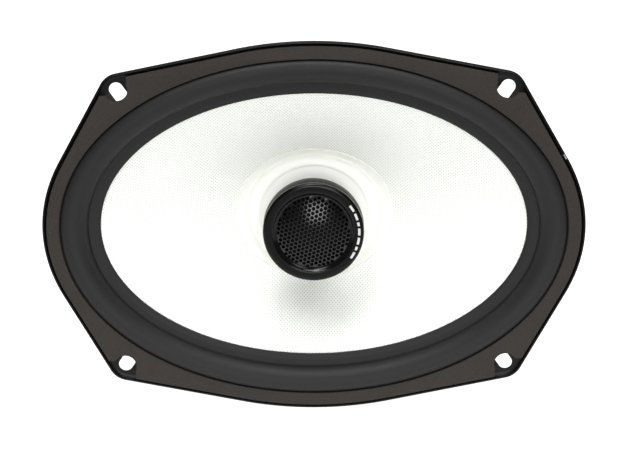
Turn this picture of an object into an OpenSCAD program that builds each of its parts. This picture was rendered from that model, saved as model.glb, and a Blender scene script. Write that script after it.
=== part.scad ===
// Coaxial car speaker, 6 x 9 inch size: a stamped chassis, a ferrite motor, an oval woven cone on
// a rubber roll, and a small dome tweeter on a post through the middle of the motor.
//
// Every module is drawn along the speaker's own axis: x right, y up, z towards the listener, with
// z = 0 on the back of the flange, which is the face that seats on the panel. facing() then turns
// it so that the listener is towards -Y and the long side of the oval lies along X.

/* [Flange] */
// Overall width of the flange
flange_w = 235; // [196:1:282]
// Overall height of the flange
flange_h = 165; // [138:1:198]
// Thickness of the chassis sheet steel
sheet_t = 1.2; // [0.8:0.1:2]
// Height of the turned-up rim above the front of the flange
rim_h = 1.2; // [0.5:0.1:2]
// Thickness of the turned-up rim
rim_t = 1.1; // [0.8:0.1:2]
// Radius of the four corners
corner_r = 9.5; // [8:0.5:12]
// Width of the screw slots
slot_w = 6.2; // [4:0.1:7]
// Distance between the two end centres of a slot
slot_travel = 5.6; // [2:0.1:6]
// Lean of a slot from the long side
slot_angle = 55.6; // [40:0.1:70]
// Outer end centre of a slot, in from the flange's side edge
slot_inset_x = 34.1; // [30:0.1:38]
// Outer end centre of a slot, in from the flange's top edge
slot_inset_y = 20.45; // [18:0.05:22]

/* [Gasket] */
// Thickness of the foam gasket
gasket_t = 2.8; // [2:0.1:5]
// Gap between the gasket and the edge of the flange
gasket_inset = 2; // [1.3:0.1:3]
// Radius of the notch round each screw slot
notch_r = 4.9; // [4.5:0.1:6.5]

/* [Surround] */
// Distance from the flange's edge to the outside of the rubber roll
land_w = 7.5; // [6:0.1:10]
// Width from the outside of the roll to the visible edge of the cone, along the long side
surround_span_x = 17.5; // [15:0.1:21]
// The same width along the short side
surround_span_y = 16.2; // [14:0.1:20]
// Height of the roll over the line between its feet
roll_h = 4.8; // [3:0.1:7]
// Thickness of the rubber
rubber_t = 0.8; // [0.5:0.1:1.2]
// Width of the flat lip that is glued to the flange
surround_lip = 1.8; // [1:0.1:2]
// Width of the flat inner land that is glued to the cone
surround_land = 5; // [4:0.1:6]

/* [Cone] */
// Depth of the cone from its rim to its neck
cone_depth = 30.7; // [26:0.1:37]
// Depth of the cone's rim behind the panel face
rim_drop = 3.3; // [2:0.1:5]
// Thickness of the cone
cone_t = 0.9; // [0.6:0.1:1.4]
// How strongly the cone flares: 1 is a straight cone
cone_flare = 0.75; // [0.6:0.01:1]
// How soon the round neck turns into an oval: 1 is evenly
cone_oval = 0.88; // [0.8:0.01:1]

/* [Collar] */
// Half width of the collar on the cone
collar_x = 34.9; // [31:0.1:40]
// Height of the collar's crown over the cone's neck
collar_h = 15; // [12:0.1:18]
// Thickness of the collar
collar_t = 0.9; // [0.6:0.1:1.2]
// Gap between the collar and the tweeter post
collar_clear = 4.5; // [3:0.1:6]

/* [Voice coil] */
// Inside radius of the voice coil's former
coil_r = 17.5; // [14.6:0.1:21]
// Thickness of the former
former_t = 0.35; // [0.2:0.05:0.5]
// Thickness of the winding
winding_t = 0.8; // [0.5:0.1:1.2]
// Free travel of the cone each way
travel = 6; // [3:0.5:7]
// Radial clearance each side of the coil in the magnet's gap
coil_gap = 0.6; // [0.4:0.05:1]

/* [Spider] */
// Width of the ledge that the spider is glued to
ledge_w = 7.2; // [6:0.1:9]
// Thickness of the spider's cloth
spider_t = 0.7; // [0.5:0.1:1]
// Number of waves in the spider
spider_waves = 6; // [4:1:8]
// Height of a wave each side of the middle
spider_wave_h = 1.3; // [0.8:0.1:2]
// Depth from the cone's neck to the spider
spider_drop = 9.3; // [8:0.1:12]

/* [Motor] */
// Depth of the cup under the spider
cup_depth = 8.2; // [7:0.1:12]
// Radius of the steel plates
plate_r = 42; // [35:0.5:51]
// Thickness of the steel plates
plate_t = 6; // [4:0.5:8]
// How far the ferrite magnet stands out past the plates
magnet_lip = 3; // [1:0.5:5]
// How far the magnet's bore stands back from the magnetic gap
magnet_setback = 4.3; // [3:0.1:6]
// Thickness of the magnet
magnet_t = 16; // [14:0.5:20]
// Thickness of the rubber boot round the magnet
boot_t = 2; // [1.5:0.1:3]
// Radius of the opening in the back of the boot
boot_hole_r = 17; // [15:0.5:22]
// Rivet centres that hold the chassis, in from the plates' edge
rivet_inset = 9; // [7:0.5:10]
// Number of those rivets
rivet_count = 6; // [4:1:8]
// Radius of a rivet's shank
rivet_r = 2; // [1.5:0.1:2.5]

/* [Tweeter] */
// Outside radius of the tweeter's housing
tweeter_r = 21.8; // [18:0.1:26.2]
// Height of the tweeter's front face above the panel face
tweeter_front = 8.4; // [6:0.1:12]
// Straight depth of the housing's side
tweeter_side_h = 9.7; // [8:0.1:12]
// Width of the bezel round the grille
bezel_w = 5.2; // [4.4:0.1:6]
// Height of the grille's dome
grille_h = 3.2; // [2:0.1:4]
// Depth of the grille's edge below the front face
grille_drop = 1.7; // [1:0.1:2.5]
// Radius of the tweeter's dome
dome_r = 12.4; // [10.5:0.1:12.6]
// Travel of the tweeter's dome each way
dome_travel = 0.3; // [0.1:0.05:0.4]
// Radius of the post that carries the tweeter
post_r = 7; // [6:0.1:8]
// Radius of the hollow through the post, for the tweeter's leads
post_bore_r = 2.4; // [2:0.1:2.8]
// Radius of the threaded stud that goes through the motor
stud_r = 4; // [3.5:0.1:4.5]

/* [Terminals] */
// Width of the terminal block
block_w = 26; // [24:1:28]
// Height of the terminal block
block_h = 12; // [10:0.5:14]
// Thickness of the terminal block
block_t = 6.6; // [5:0.1:8]
// Width of the wide blade
wide_blade_w = 6.3; // [5:0.1:7]
// Width of the narrow blade
narrow_blade_w = 4.8; // [3:0.1:5]
// Thickness of the blades
blade_t = 0.8; // [0.5:0.1:1]
// Length of a blade below the block
blade_l = 8; // [6:0.5:10]
// Radius of the tweeter's capacitor
capacitor_r = 4.5; // [4:0.1:5]
// Length of the capacitor
capacitor_l = 20; // [16:0.5:24]
// Diameter of the insulated tweeter leads
lead_d = 1.5; // [1:0.1:1.8]
// Diameter of the braided leads to the voice coil
braid_d = 1.3; // [0.8:0.1:1.6]

/* [Hidden] */

// Segments round an oval piece. A multiple of 12, so that each of the six arms and windows has
// whole segments.
oval_n = 72;
// Points round the flange and the openings that follow it
outline_n = 180;
// Clearance between two pieces that are glued or laid on each other
seat_gap = 0.1;
// The same between the moving cone and what it hangs on
hang_gap = 0.3;
// Clearance round a rivet, rod or tab in its hole
fit_gap = 0.05;
round_fn = 96;
small_fn = 40;

// ---- places worked out from the driving sizes ----

// The outside of the rubber roll, and the visible edge of the cone
roll_a = flange_w / 2 - land_w;
roll_b = flange_h / 2 - land_w;
rim_a = roll_a - surround_span_x;
rim_b = roll_b - surround_span_y;
// The cone's rim under the surround's land
cone_rim_w = surround_land - 0.6;
// Outer end centre of a slot, the slot's middle, and its unit direction
slot_end = [flange_w / 2 - slot_inset_x, flange_h / 2 - slot_inset_y];
slot_dir = [cos(slot_angle), sin(slot_angle)];
slot_mid = slot_end - slot_dir * slot_travel / 2;
// Along the axis, from the front to the back
rim_z = -rim_drop;
neck_z = rim_z - cone_depth;
spider_z = neck_z - spider_drop;
ledge_z = spider_z - spider_t / 2;
plate_z = ledge_z - cup_depth;
plate_back_z = plate_z - plate_t;
magnet_back_z = plate_back_z - magnet_t;
yoke_back_z = magnet_back_z - plate_t;
boot_back_z = yoke_back_z - boot_t;
// Round the coil
former_r = coil_r + former_t;
winding_r = former_r + winding_t;
pole_r = coil_r - coil_gap;
gap_r = winding_r + coil_gap;
winding_z = plate_z - plate_t / 2;
former_top_z = neck_z + 1.5;
// The winding overhangs the top plate at each end by two thirds of the travel
winding_h = plate_t + 4 / 3 * travel;
former_foot_z = winding_z - winding_h / 2 - 1;
pole_z = plate_z + 0.5;
// Round the motor, and the chassis cup with the spider's ledge
magnet_r = plate_r + magnet_lip;
magnet_bore_r = gap_r + magnet_setback;
rivet_circle_r = plate_r - rivet_inset;
cup_r = plate_r + 1;
cup_in_r = cup_r - sheet_t;
spider_r = cup_in_r + ledge_w;
ledge_r = spider_r + 0.4;
bead_t = 3.6;
// The arms of the chassis: six, each with a third of its sixth of the oval
arm_count = 6;
band_z = -14;
arm_foot_z = ledge_z + 4;
// Tweeter, from the front to the back
bezel_t = 2.2;
grille_r = tweeter_r - bezel_w;
grille_z = tweeter_front - grille_drop;
housing_wall = 1.6;
housing_back_z = tweeter_front - tweeter_side_h;
dome_z = grille_z - 2.7;
yoke_t = 1.5;
tweeter_gap = 0.35;
tweeter_coil_t = 0.35;
disc_r = dome_r - tweeter_coil_t - tweeter_gap;
yoke_in_r = dome_r + tweeter_gap;
yoke_r = yoke_in_r + yoke_t;
disc_t = 1.5;
disc_top_z = dome_z - 1.4;
tweeter_magnet_t = 3;
yoke_floor_z = disc_top_z - disc_t - tweeter_magnet_t;
seat_z = yoke_floor_z - yoke_t - seat_gap;
housing_floor_z = seat_z - 2.4;
clamp_t = 1.2;
clamp_r = tweeter_r - housing_wall - seat_gap;
// The nut that holds the post, sunk in the back of the motor
nut_r = 7.2;
nut_t = 3.2;
washer_t = 0.8;
washer_r = nut_r + 1.3;
recess_r = washer_r + 0.8;
recess_t = nut_t + washer_t + 0.8;

// ---- helpers ----

// Turns a piece from the speaker's own axis to the frame of the part
module facing() { rotate([90, 0, 0]) children(); }

function unit(v) = v / norm(v);

// The point of an oval, half axes a and b, that is furthest in direction t
function oval_support(a, b, t) =
    [a * a * cos(t), b * b * sin(t)] / sqrt(pow(a * cos(t), 2) + pow(b * sin(t), 2));

// The flange's outline drawn in by d: the tightest band round the oval and the four corners
function flange_outline(d = 0) = [
    for (i = [0:outline_n - 1])
        let (
            t = 360 * (i + 0.5) / outline_n,
            way = [cos(t), sin(t)],
            oval = oval_support(flange_w / 2 - d, flange_h / 2 - d, t),
            quarter = [sign(way[0]) * slot_mid[0], sign(way[1]) * slot_mid[1]],
            corner = quarter + way * (corner_r - d)
        )
        oval * way > corner * way ? oval : corner
];

function oval(a, b, n = outline_n) = [for (i = [0:n - 1]) [a * cos(360 * i / n), b * sin(360 * i / n)]];

// A closed ring with an oval or round section line. loop is a list of [half width, half height, z],
// counter-clockwise seen with the half width to the right and z up.
module oval_ring(loop, n = oval_n) {
    m = len(loop);
    points = [for (ring = loop, i = [0:n - 1])
        [ring[0] * cos(360 * i / n), ring[1] * sin(360 * i / n), ring[2]]];
    faces = [for (j = [0:m - 1], i = [0:n - 1])
        let (
            i1 = (i + 1) % n,
            j1 = (j + 1) % m,
            p = j * n + i,
            q = j * n + i1,
            r = j1 * n + i1,
            s = j1 * n + i
        )
        each [[p, s, r], [p, r, q]]];
    polyhedron(points, faces, convexity = 6);
}

// A thin shell on a grid of rings, from outer rings to inner rings, open where cut(i, j) is true
module windowed_shell(outer, inner, cut, n = oval_n) {
    rows = len(outer);
    half = rows * n;
    points = [for (side = [outer, inner], ring = side, i = [0:n - 1])
        [ring[0] * cos(360 * i / n), ring[1] * sin(360 * i / n), ring[2]]];
    function there(i, j) = j >= 0 && j < rows - 1 && !cut((i + n) % n, j);
    function at(i, j) = j * n + (i + n) % n;
    faces = [for (j = [0:rows - 2], i = [0:n - 1])
        if (there(i, j))
            let (
                a = at(i, j),
                b = at(i + 1, j),
                c = at(i + 1, j + 1),
                d = at(i, j + 1),
                edges = [
                    if (!there(i, j - 1)) [b, a],
                    if (!there(i + 1, j)) [c, b],
                    if (!there(i, j + 1)) [d, c],
                    if (!there(i - 1, j)) [a, d]
                ]
            )
            each concat(
                [[a, b, c], [a, c, d], [a + half, c + half, b + half], [a + half, d + half, c + half]],
                [for (e = edges) each [[e[0], e[1], e[1] + half], [e[0], e[1] + half, e[0] + half]]]
            )];
    polyhedron(points, faces, convexity = 8);
}

// A tube swept along points, with the rings square to the path, which never runs along side
module tube(path, d, side = [1, 0, 0], sides = 8) {
    n = len(path);
    function heading(k) = unit(path[min(k + 1, n - 1)] - path[max(k - 1, 0)]);
    points = [for (k = [0:n - 1], i = [0:sides - 1])
        let (
            h = heading(k),
            x = unit(cross(h, side)),
            y = cross(h, x),
            t = 360 * i / sides
        )
        path[k] + (x * cos(t) + y * sin(t)) * d / 2];
    sides_of = [for (k = [0:n - 2], i = [0:sides - 1])
        let (
            i1 = (i + 1) % sides,
            p = k * sides + i,
            q = k * sides + i1,
            r = (k + 1) * sides + i1,
            s = (k + 1) * sides + i
        )
        each [[p, s, r], [p, r, q]]];
    caps = concat(
        [[for (i = [0:sides - 1]) i]],
        [[for (i = [sides - 1:-1:0]) (n - 1) * sides + i]]
    );
    polyhedron(points, concat(sides_of, caps), convexity = 4);
}

// Points of a line of straight runs through p, with each corner rounded to radius r
function bent(p, r, steps = 4) = [
    p[0],
    for (k = [1:len(p) - 2])
        let (
            a = unit(p[k - 1] - p[k]),
            b = unit(p[k + 1] - p[k]),
            corner = acos(a * b),
            middle = p[k] + unit(a + b) * r / sin(corner / 2),
            from = p[k] + a * r / tan(corner / 2) - middle,
            to = p[k] + b * r / tan(corner / 2) - middle,
            turn = 180 - corner
        )
        for (s = [0:steps])
            middle + (from * sin(turn * (1 - s / steps)) + to * sin(turn * s / steps)) / sin(turn),
    p[len(p) - 1]
];

// Points of a loose curve through p, with steps between each two
function curve(p, steps = 4) = [
    for (k = [0:len(p) - 2], s = [0:steps - 1])
        let (
            u = s / steps,
            a = p[max(k - 1, 0)],
            b = p[k],
            c = p[k + 1],
            d = p[min(k + 2, len(p) - 1)]
        )
        0.5 * (2 * b + (c - a) * u + (2 * a - 5 * b + 4 * c - d) * u * u
            + (3 * b - a - 3 * c + d) * u * u * u),
    p[len(p) - 1]
];

// A ring round the axis, from radius r0 to r1 and z0 to z1
module washer(r0, r1, z0, z1) {
    translate([0, 0, z0]) difference() {
        cylinder(r = r1, h = z1 - z0, $fn = round_fn);
        translate([0, 0, -1]) cylinder(r = r0, h = z1 - z0 + 2, $fn = round_fn);
    }
}

// ---- chassis ----

// Half axes of the arms' outer line: the flange's band at the top, the spider's cup at the foot
function arm_ring(u) = let (
        foot = ledge_r + bead_t / 2 + 1,
        z = band_z + (arm_foot_z - band_z) * u,
        bulge = 3 * sin(180 * u)
    )
    [
        (roll_a - 6.5) * (1 - u) + (foot + 1.5) * u + bulge,
        (roll_b - 6.5) * (1 - u) + foot * u + bulge * 0.5,
        z
    ];

bowl_rows = [
    [roll_a + 0.4, roll_b + 0.4, sheet_t / 2],
    [roll_a, roll_b, -2],
    [roll_a - 2.5, roll_b - 2.5, -8],
    arm_ring(0),
    arm_ring(0.33),
    arm_ring(0.67),
    arm_ring(1),
    [ledge_r + bead_t / 2 + 0.4, ledge_r + bead_t / 2 + 0.4, ledge_z + 0.4]
];
window_rows = [3, 5];

// The arms are centred on 30, 90, 150 degrees and so on
module bowl() {
    sector = oval_n / arm_count;
    shift = 0.72 * sheet_t;
    windowed_shell(
        bowl_rows,
        [for (r = bowl_rows) [r[0] - shift, r[1] - shift, r[2] + shift * (r[2] < -8 ? 1 : 0)]],
        function (i, j) j >= window_rows[0] && j <= window_rows[1]
            && ((i + sector / 3) % sector) < sector * 2 / 3
    );
}

module slot_cut(h) {
    for (e = [0, slot_travel])
        translate([e - slot_travel / 2, 0, 0]) cylinder(d = slot_w, h = h, $fn = round_fn);
    translate([-slot_travel / 2, -slot_w / 2, 0]) cube([slot_travel, slot_w, h]);
}

// The middle of each screw slot, with child x along the slot and out to the corner
module at_corners() {
    for (sx = [-1, 1], sy = [-1, 1])
        translate([sx * slot_mid[0], sy * slot_mid[1], 0])
            rotate([0, 0, atan2(sy * slot_dir[1], sx * slot_dir[0])]) children();
}

// Where the terminal block sits on the bottom arm: child z points out of the arm, y up it
arm_top = arm_ring(0.33);
arm_low = arm_ring(0.67);
arm_lean = atan2(arm_top[2] - arm_low[2], arm_top[1] - arm_low[1]);
block_place = [0, -(arm_top[1] + arm_low[1]) / 2, (arm_top[2] + arm_low[2]) / 2];
module on_arm() { translate(block_place) rotate([180 - arm_lean, 0, 0]) children(); }

boss_w = 17;
boss_h = 5;
boss_l = 3;
block_rivet_x = block_w / 2 - 2.4;
block_rivet_r = 1.2;

module flange() {
    difference() {
        linear_extrude(sheet_t + rim_h) polygon(flange_outline());
        translate([0, 0, sheet_t]) linear_extrude(rim_h + 1) polygon(flange_outline(rim_t));
        translate([0, 0, -1]) linear_extrude(sheet_t + 2) polygon(oval(roll_a - 0.9, roll_b - 0.9));
        translate([0, 0, -1]) at_corners() slot_cut(sheet_t + 2);
    }
}

module chassis_cup() {
    difference() {
        rotate_extrude($fn = round_fn) polygon([
            [magnet_bore_r, plate_z],
            [cup_r, plate_z],
            [cup_r, ledge_z - sheet_t],
            [ledge_r + bead_t, ledge_z - sheet_t],
            [ledge_r + bead_t, ledge_z + 2],
            [ledge_r, ledge_z + 2],
            [ledge_r, ledge_z],
            [cup_in_r, ledge_z],
            [cup_in_r, plate_z + sheet_t],
            [magnet_bore_r, plate_z + sheet_t]
        ]);
        at_rivets() translate([0, 0, plate_z - 1])
            cylinder(r = rivet_r + fit_gap, h = sheet_t + 2, $fn = small_fn);
    }
}

module basket() {
    color("#1a1a1a") facing() difference() {
        union() {
            flange();
            bowl();
            chassis_cup();
        }
        on_arm() {
            translate([0, 0, -2]) cube([boss_w + 2 * fit_gap, boss_h + 2 * fit_gap, 8], center = true);
            for (sx = [-1, 1]) translate([sx * block_rivet_x, 0, -5])
                cylinder(r = block_rivet_r + fit_gap, h = 10, $fn = small_fn);
        }
    }
}

// How far in from a slot's outer end the straight sides of its notch stand
notch_side = [notch_r * 0.9, notch_r * 0.5];

module front_gasket() {
    color("#3d3a36") facing() difference() {
        translate([0, 0, sheet_t]) linear_extrude(gasket_t) polygon(flange_outline(gasket_inset));
        translate([0, 0, sheet_t - 1]) linear_extrude(gasket_t + 2) polygon(oval(roll_a, roll_b));
        translate([0, 0, sheet_t - 1]) linear_extrude(rubber_t + seat_gap + 1)
            polygon(oval(roll_a + surround_lip + seat_gap, roll_b + surround_lip + seat_gap));
        translate([0, 0, sheet_t - 1]) at_corners()
            translate([slot_travel / 2, 0, 0]) cylinder(r = notch_r, h = gasket_t + 2, $fn = round_fn);
        for (sx = [-1, 1], sy = [-1, 1]) scale([sx, sy, 1])
            translate([slot_end[0] - notch_side[0], slot_end[1] - notch_side[1], sheet_t - 1])
                cube([20, 20, gasket_t + 2]);
    }
}

// ---- cone and its suspension ----

// The cone's front surface, from the neck at s = 0 to the visible edge at s = 1
neck_r = former_r + seat_gap;
function cone_ring(s, drop = 0) = [
    neck_r + (rim_a - neck_r) * s,
    neck_r + (rim_b - neck_r) * pow(s, cone_oval),
    neck_z + cone_depth * pow(s, cone_flare) - drop
];

cone_steps = [0, 0.03, 0.08, 0.16, 0.26, 0.38, 0.52, 0.68, 0.84, 1];
cone_edge_rise = 0.75;

module cone() {
    edge = [rim_a + cone_rim_w, rim_b + cone_rim_w, rim_z + cone_edge_rise];
    front = concat([for (s = cone_steps) cone_ring(s)], [edge]);
    // The back of the sheet stands clear of the former at the neck
    back = [for (r = front) [r[0], r[1], r[2] - cone_t * (r[2] < neck_z + 3 ? 1.6 : 1.15)]];
    color("#f2f2ea") facing()
        oval_ring(concat([for (k = [len(back) - 1:-1:0]) back[k]], front), oval_n);
}

// Rings of the surround: u runs across the roll, from its outside to the land's outer edge
function roll_ring(u, z) = [
    roll_a + (rim_a + surround_land - roll_a) * u,
    roll_b + (rim_b + surround_land - roll_b) * u,
    z
];
land_z = rim_z + hang_gap;
land_rise = cone_edge_rise * surround_land / cone_rim_w;
roll_steps = 9;

// The roll's line, or its underside when thin is the rubber's thickness
function roll_line(thin) = [
    for (k = [0:roll_steps])
        let (
            phi = 180 * k / roll_steps,
            half = 0.48 - thin / (surround_span_y - surround_land),
            foot = sheet_t + (land_z + land_rise - sheet_t) * k / roll_steps + rubber_t
        )
        roll_ring(0.5 - half * cos(phi), foot + roll_h * sin(phi) - thin)
];

module surround() {
    lip = [roll_a + surround_lip, roll_b + surround_lip, sheet_t];
    edge = [rim_a, rim_b, land_z];
    up = [0, 0, rubber_t];
    front = concat([lip + up], roll_line(0), [edge + up]);
    back = concat([lip], roll_line(rubber_t), [edge]);
    color("#343434") facing() oval_ring(concat([for (k = [len(front) - 1:-1:0]) front[k]], back));
}

// The collar's front line, from its hole to its glued lip
function collar_lip_z(s) = cone_ring(s)[2] + seat_gap + collar_t;
lip_s = (collar_x - neck_r) / (rim_a - neck_r);
collar_y = cone_ring(lip_s)[1];
foot_s = lip_s * 0.72;
collar_hole_r = post_r + collar_clear;
collar_top_z = neck_z + collar_h;

collar_front = [
    [collar_hole_r, collar_hole_r, collar_top_z - 1],
    [collar_hole_r + 2, collar_hole_r + 2, collar_top_z],
    [collar_x * 0.545, collar_y * 0.65, collar_top_z - 0.2],
    [collar_x * 0.675, collar_y * 0.765, collar_top_z - 1],
    [collar_x * 0.69, collar_y * 0.78, collar_top_z - 0.5],
    [collar_x * 0.75, collar_y * 0.82, collar_top_z - 0.9],
    [collar_x * 0.81, collar_y * 0.862, collar_top_z - 1.7],
    [collar_x * 0.84, collar_y * 0.885, collar_top_z - 2.6],
    [collar_x * 0.865, collar_y * 0.905, collar_lip_z(foot_s) + 0.1],
    [collar_x, collar_y, collar_lip_z(lip_s)]
];

module cone_collar() {
    m = len(collar_front);
    // The underside of the glued lip lies a little off the cone; the crown is an even sheet
    back = [for (k = [0:m - 1])
        let (r = collar_front[k], inward = k > m - 5 && k < m - 1 ? 0.7 : 0)
        [r[0] - inward, r[1] - inward, r[2] - collar_t]];
    color("#f6f6f2") facing() oval_ring(concat(
        back,
        [for (k = [m - 1:-1:0]) collar_front[k]]
    ));
}

module coil_former() {
    color("#c9a25f") facing() washer(coil_r, former_r, former_foot_z, former_top_z);
}

module coil_winding() {
    color("#a5552a") facing() washer(
        former_r + fit_gap, winding_r, winding_z - winding_h / 2, winding_z + winding_h / 2
    );
}

// Height of the spider's middle line at radius r: flat at its neck and over the ledge
spider_in_r = former_r + hang_gap;
function spider_line(r) =
    let (
        from = spider_in_r + 2,
        to = cup_in_r - 0.8,
        x = (r - from) / (to - from)
    )
    x <= 0 || x >= 1 ? 0 : spider_wave_h * sin(360 * spider_waves * x) * min(1, 6 * x, 6 * (1 - x));

module spider() {
    steps = 8 * spider_waves + 4;
    radii = [for (k = [0:steps]) spider_in_r + (spider_r - spider_in_r) * k / steps];
    color("#c8a23c") facing() rotate_extrude($fn = round_fn) polygon(concat(
        [for (r = radii) [r, spider_z + spider_line(r) - spider_t / 2]],
        [for (k = [steps:-1:0]) [radii[k], spider_z + spider_line(radii[k]) + spider_t / 2]]
    ));
}

// ---- motor ----

module at_rivets() {
    for (k = [0:rivet_count - 1])
        rotate([0, 0, 360 * (k + 0.5) / rivet_count]) translate([rivet_circle_r, 0, 0]) children();
}

module top_plate() {
    color("#8c8f92") facing() difference() {
        washer(gap_r, plate_r, plate_back_z, plate_z - fit_gap);
        at_rivets() translate([0, 0, plate_back_z - 1])
            cylinder(r = rivet_r + fit_gap, h = plate_t + 2, $fn = small_fn);
    }
}

module magnet() {
    color("#3a3a3c") facing()
        washer(magnet_bore_r, magnet_r, magnet_back_z + fit_gap, plate_back_z - fit_gap);
}

module back_yoke() {
    color("#9a9da0") facing() difference() {
        union() {
            translate([0, 0, yoke_back_z]) cylinder(r = plate_r, h = plate_t, $fn = round_fn);
            translate([0, 0, magnet_back_z - 1])
                cylinder(r = pole_r, h = pole_z - magnet_back_z + 1, $fn = round_fn);
        }
        translate([0, 0, yoke_back_z - 1])
            cylinder(r = stud_r + fit_gap, h = pole_z - yoke_back_z + 2, $fn = small_fn);
        translate([0, 0, yoke_back_z - 1]) cylinder(r = recess_r, h = recess_t + 1, $fn = round_fn);
    }
}

// The channel for the tweeter's leads, down the side of the boot and in across its back
groove_w = 2 * lead_d + 0.8;
groove_t = lead_d + 0.2;
boot_r = magnet_r + seat_gap + boot_t;

module magnet_boot() {
    inner = magnet_r + seat_gap;
    bevel = 2;
    corner = [boot_r - groove_t, boot_back_z + groove_t];
    color("#161616") facing() difference() {
        rotate_extrude($fn = round_fn) polygon([
            [boot_hole_r, boot_back_z],
            [boot_r - 2, boot_back_z],
            [boot_r - 0.6, boot_back_z + 0.6],
            [boot_r, boot_back_z + 2],
            [boot_r, plate_back_z - 0.6],
            [boot_r - 0.6, plate_back_z],
            [inner, plate_back_z],
            [inner, yoke_back_z - fit_gap],
            [boot_hole_r, yoke_back_z - fit_gap]
        ]);
        translate([groove_w / 2, 0, 0]) rotate([90, 0, -90]) linear_extrude(groove_w) polygon([
            [0, corner[1]],
            [corner[0] - bevel, corner[1]],
            [corner[0], corner[1] + bevel],
            [corner[0], plate_z],
            [boot_r + 5, plate_z],
            [boot_r + 5, boot_back_z - 5],
            [0, boot_back_z - 5]
        ]);
    }
}

module chassis_rivets() {
    head_h = 1.3;
    head_r = rivet_r * 1.8;
    color("#b8babc") facing() at_rivets() union() {
        translate([0, 0, plate_back_z + 0.3])
            cylinder(r = rivet_r, h = plate_t + sheet_t + 0.3, $fn = small_fn);
        translate([0, 0, plate_z + sheet_t + fit_gap])
            cylinder(r1 = head_r, r2 = rivet_r, h = head_h, $fn = small_fn);
    }
}

// ---- tweeter ----

module tweeter_post() {
    color("#2a2a2a") facing() difference() {
        union() {
            translate([0, 0, pole_z + fit_gap])
                cylinder(r = post_r, h = housing_floor_z - pole_z - 2 * fit_gap, $fn = round_fn);
            translate([0, 0, yoke_back_z + 0.3])
                cylinder(r = stud_r, h = yoke_floor_z - yoke_t - 0.4 - yoke_back_z, $fn = round_fn);
        }
        translate([0, 0, yoke_back_z - 1])
            cylinder(r = post_bore_r, h = tweeter_front - yoke_back_z, $fn = small_fn);
    }
}

module post_washer() {
    top = yoke_back_z + recess_t;
    color("#c4c6c8") facing() washer(stud_r + fit_gap, washer_r, top - washer_t, top - fit_gap);
}

module post_nut() {
    top = yoke_back_z + recess_t - washer_t - fit_gap;
    color("#b0b2b4") facing() difference() {
        translate([0, 0, top - nut_t]) cylinder(r = nut_r, h = nut_t, $fn = 6);
        translate([0, 0, top - nut_t - 1]) cylinder(r = stud_r + fit_gap, h = nut_t + 2, $fn = small_fn);
    }
}

// The housing: a cup with a straight side and a tapered back that meets the post
module tweeter_housing() {
    in_r = tweeter_r - housing_wall;
    color("#222222") facing() rotate_extrude($fn = round_fn) polygon([
        [stud_r + fit_gap, housing_floor_z],
        [post_r + 5, housing_floor_z],
        [tweeter_r - 1, housing_back_z - 0.8],
        [tweeter_r, housing_back_z],
        [tweeter_r, tweeter_front - bezel_t - seat_gap],
        [in_r, tweeter_front - bezel_t - seat_gap],
        [in_r, dome_z - clamp_t - seat_gap],
        [yoke_r + 1, dome_z - clamp_t - seat_gap],
        [yoke_r + seat_gap, dome_z - clamp_t - 1],
        [yoke_r + seat_gap, seat_z],
        [stud_r + fit_gap, seat_z]
    ]);
}

module tweeter_bezel() {
    slope = tweeter_front - grille_z;
    color("#191714") facing() rotate_extrude($fn = round_fn) polygon([
        [tweeter_r, tweeter_front - bezel_t],
        [tweeter_r, tweeter_front - 0.9],
        [tweeter_r - 0.3, tweeter_front - 0.3],
        [tweeter_r - 1, tweeter_front],
        [grille_r + slope, tweeter_front],
        [grille_r + 0.1, grille_z],
        [grille_r + 0.1, tweeter_front - bezel_t]
    ]);
}

grille_t = 0.5;
function cap_radius(r, h) = (r * r + h * h) / (2 * h);

// Section of a round dome sheet: edge radius r, height h, thickness t, standing at z
function dome_line(r, h, z, t, steps = 10) =
    let (big = cap_radius(r, h), half = asin(r / big))
    concat(
        [for (k = [0:steps]) let (p = half * (1 - k / steps)) [big * sin(p), z + big * cos(p) - big + h]],
        [for (k = [0:steps])
            let (p = half * k / steps)
            [(big - t) * sin(p), z + (big - t) * cos(p) - big + h]]
    );

module tweeter_grille() {
    color("#4a4a4a") facing() rotate_extrude($fn = round_fn)
        polygon(dome_line(grille_r, grille_h, grille_z, grille_t));
}

module tweeter_cup() {
    color("#8f9295") facing() rotate_extrude($fn = round_fn) polygon([
        [stud_r + fit_gap, yoke_floor_z - yoke_t],
        [yoke_r, yoke_floor_z - yoke_t],
        [yoke_r, disc_top_z],
        [yoke_in_r, disc_top_z],
        [yoke_in_r, yoke_floor_z],
        [stud_r + fit_gap, yoke_floor_z]
    ]);
}

module tweeter_magnet() {
    color("#c9cacc") facing()
        washer(post_bore_r, disc_r - 0.6, yoke_floor_z + fit_gap, disc_top_z - disc_t - fit_gap);
}

module tweeter_pole_disc() {
    color("#9b9ea1") facing() washer(post_bore_r, disc_r, disc_top_z - disc_t, disc_top_z);
}

module tweeter_felt() {
    color("#55524d") facing() washer(post_bore_r, disc_r - 3, disc_top_z + fit_gap, disc_top_z + 0.7);
}

module tweeter_clamp_ring() {
    color("#303030") facing() washer(yoke_r - 0.2, clamp_r, dome_z - clamp_t, dome_z);
}

// The fine cloth roll between the dome and the clamp ring
suspension_t = 0.3;
suspension_r0 = dome_r + 0.15;
suspension_r1 = yoke_r + 1.2;
module tweeter_suspension() {
    steps = 8;
    mid = (suspension_r0 + yoke_r) / 2;
    half = (yoke_r - suspension_r0) / 2;
    foot = dome_z + 0.05;
    function line(h, thin) = [for (k = [0:steps])
        let (p = 180 - 180 * k / steps)
        [mid + (half - thin) * cos(p), foot + h + (half * 0.7 - thin) * sin(p)]];
    color("#2c2c2e") facing() rotate_extrude($fn = round_fn) polygon(concat(
        line(0, suspension_t * 0.8),
        [[suspension_r1, foot], [suspension_r1, foot + suspension_t]],
        [for (k = [steps:-1:0]) line(suspension_t, 0)[k]]
    ));
}

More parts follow.
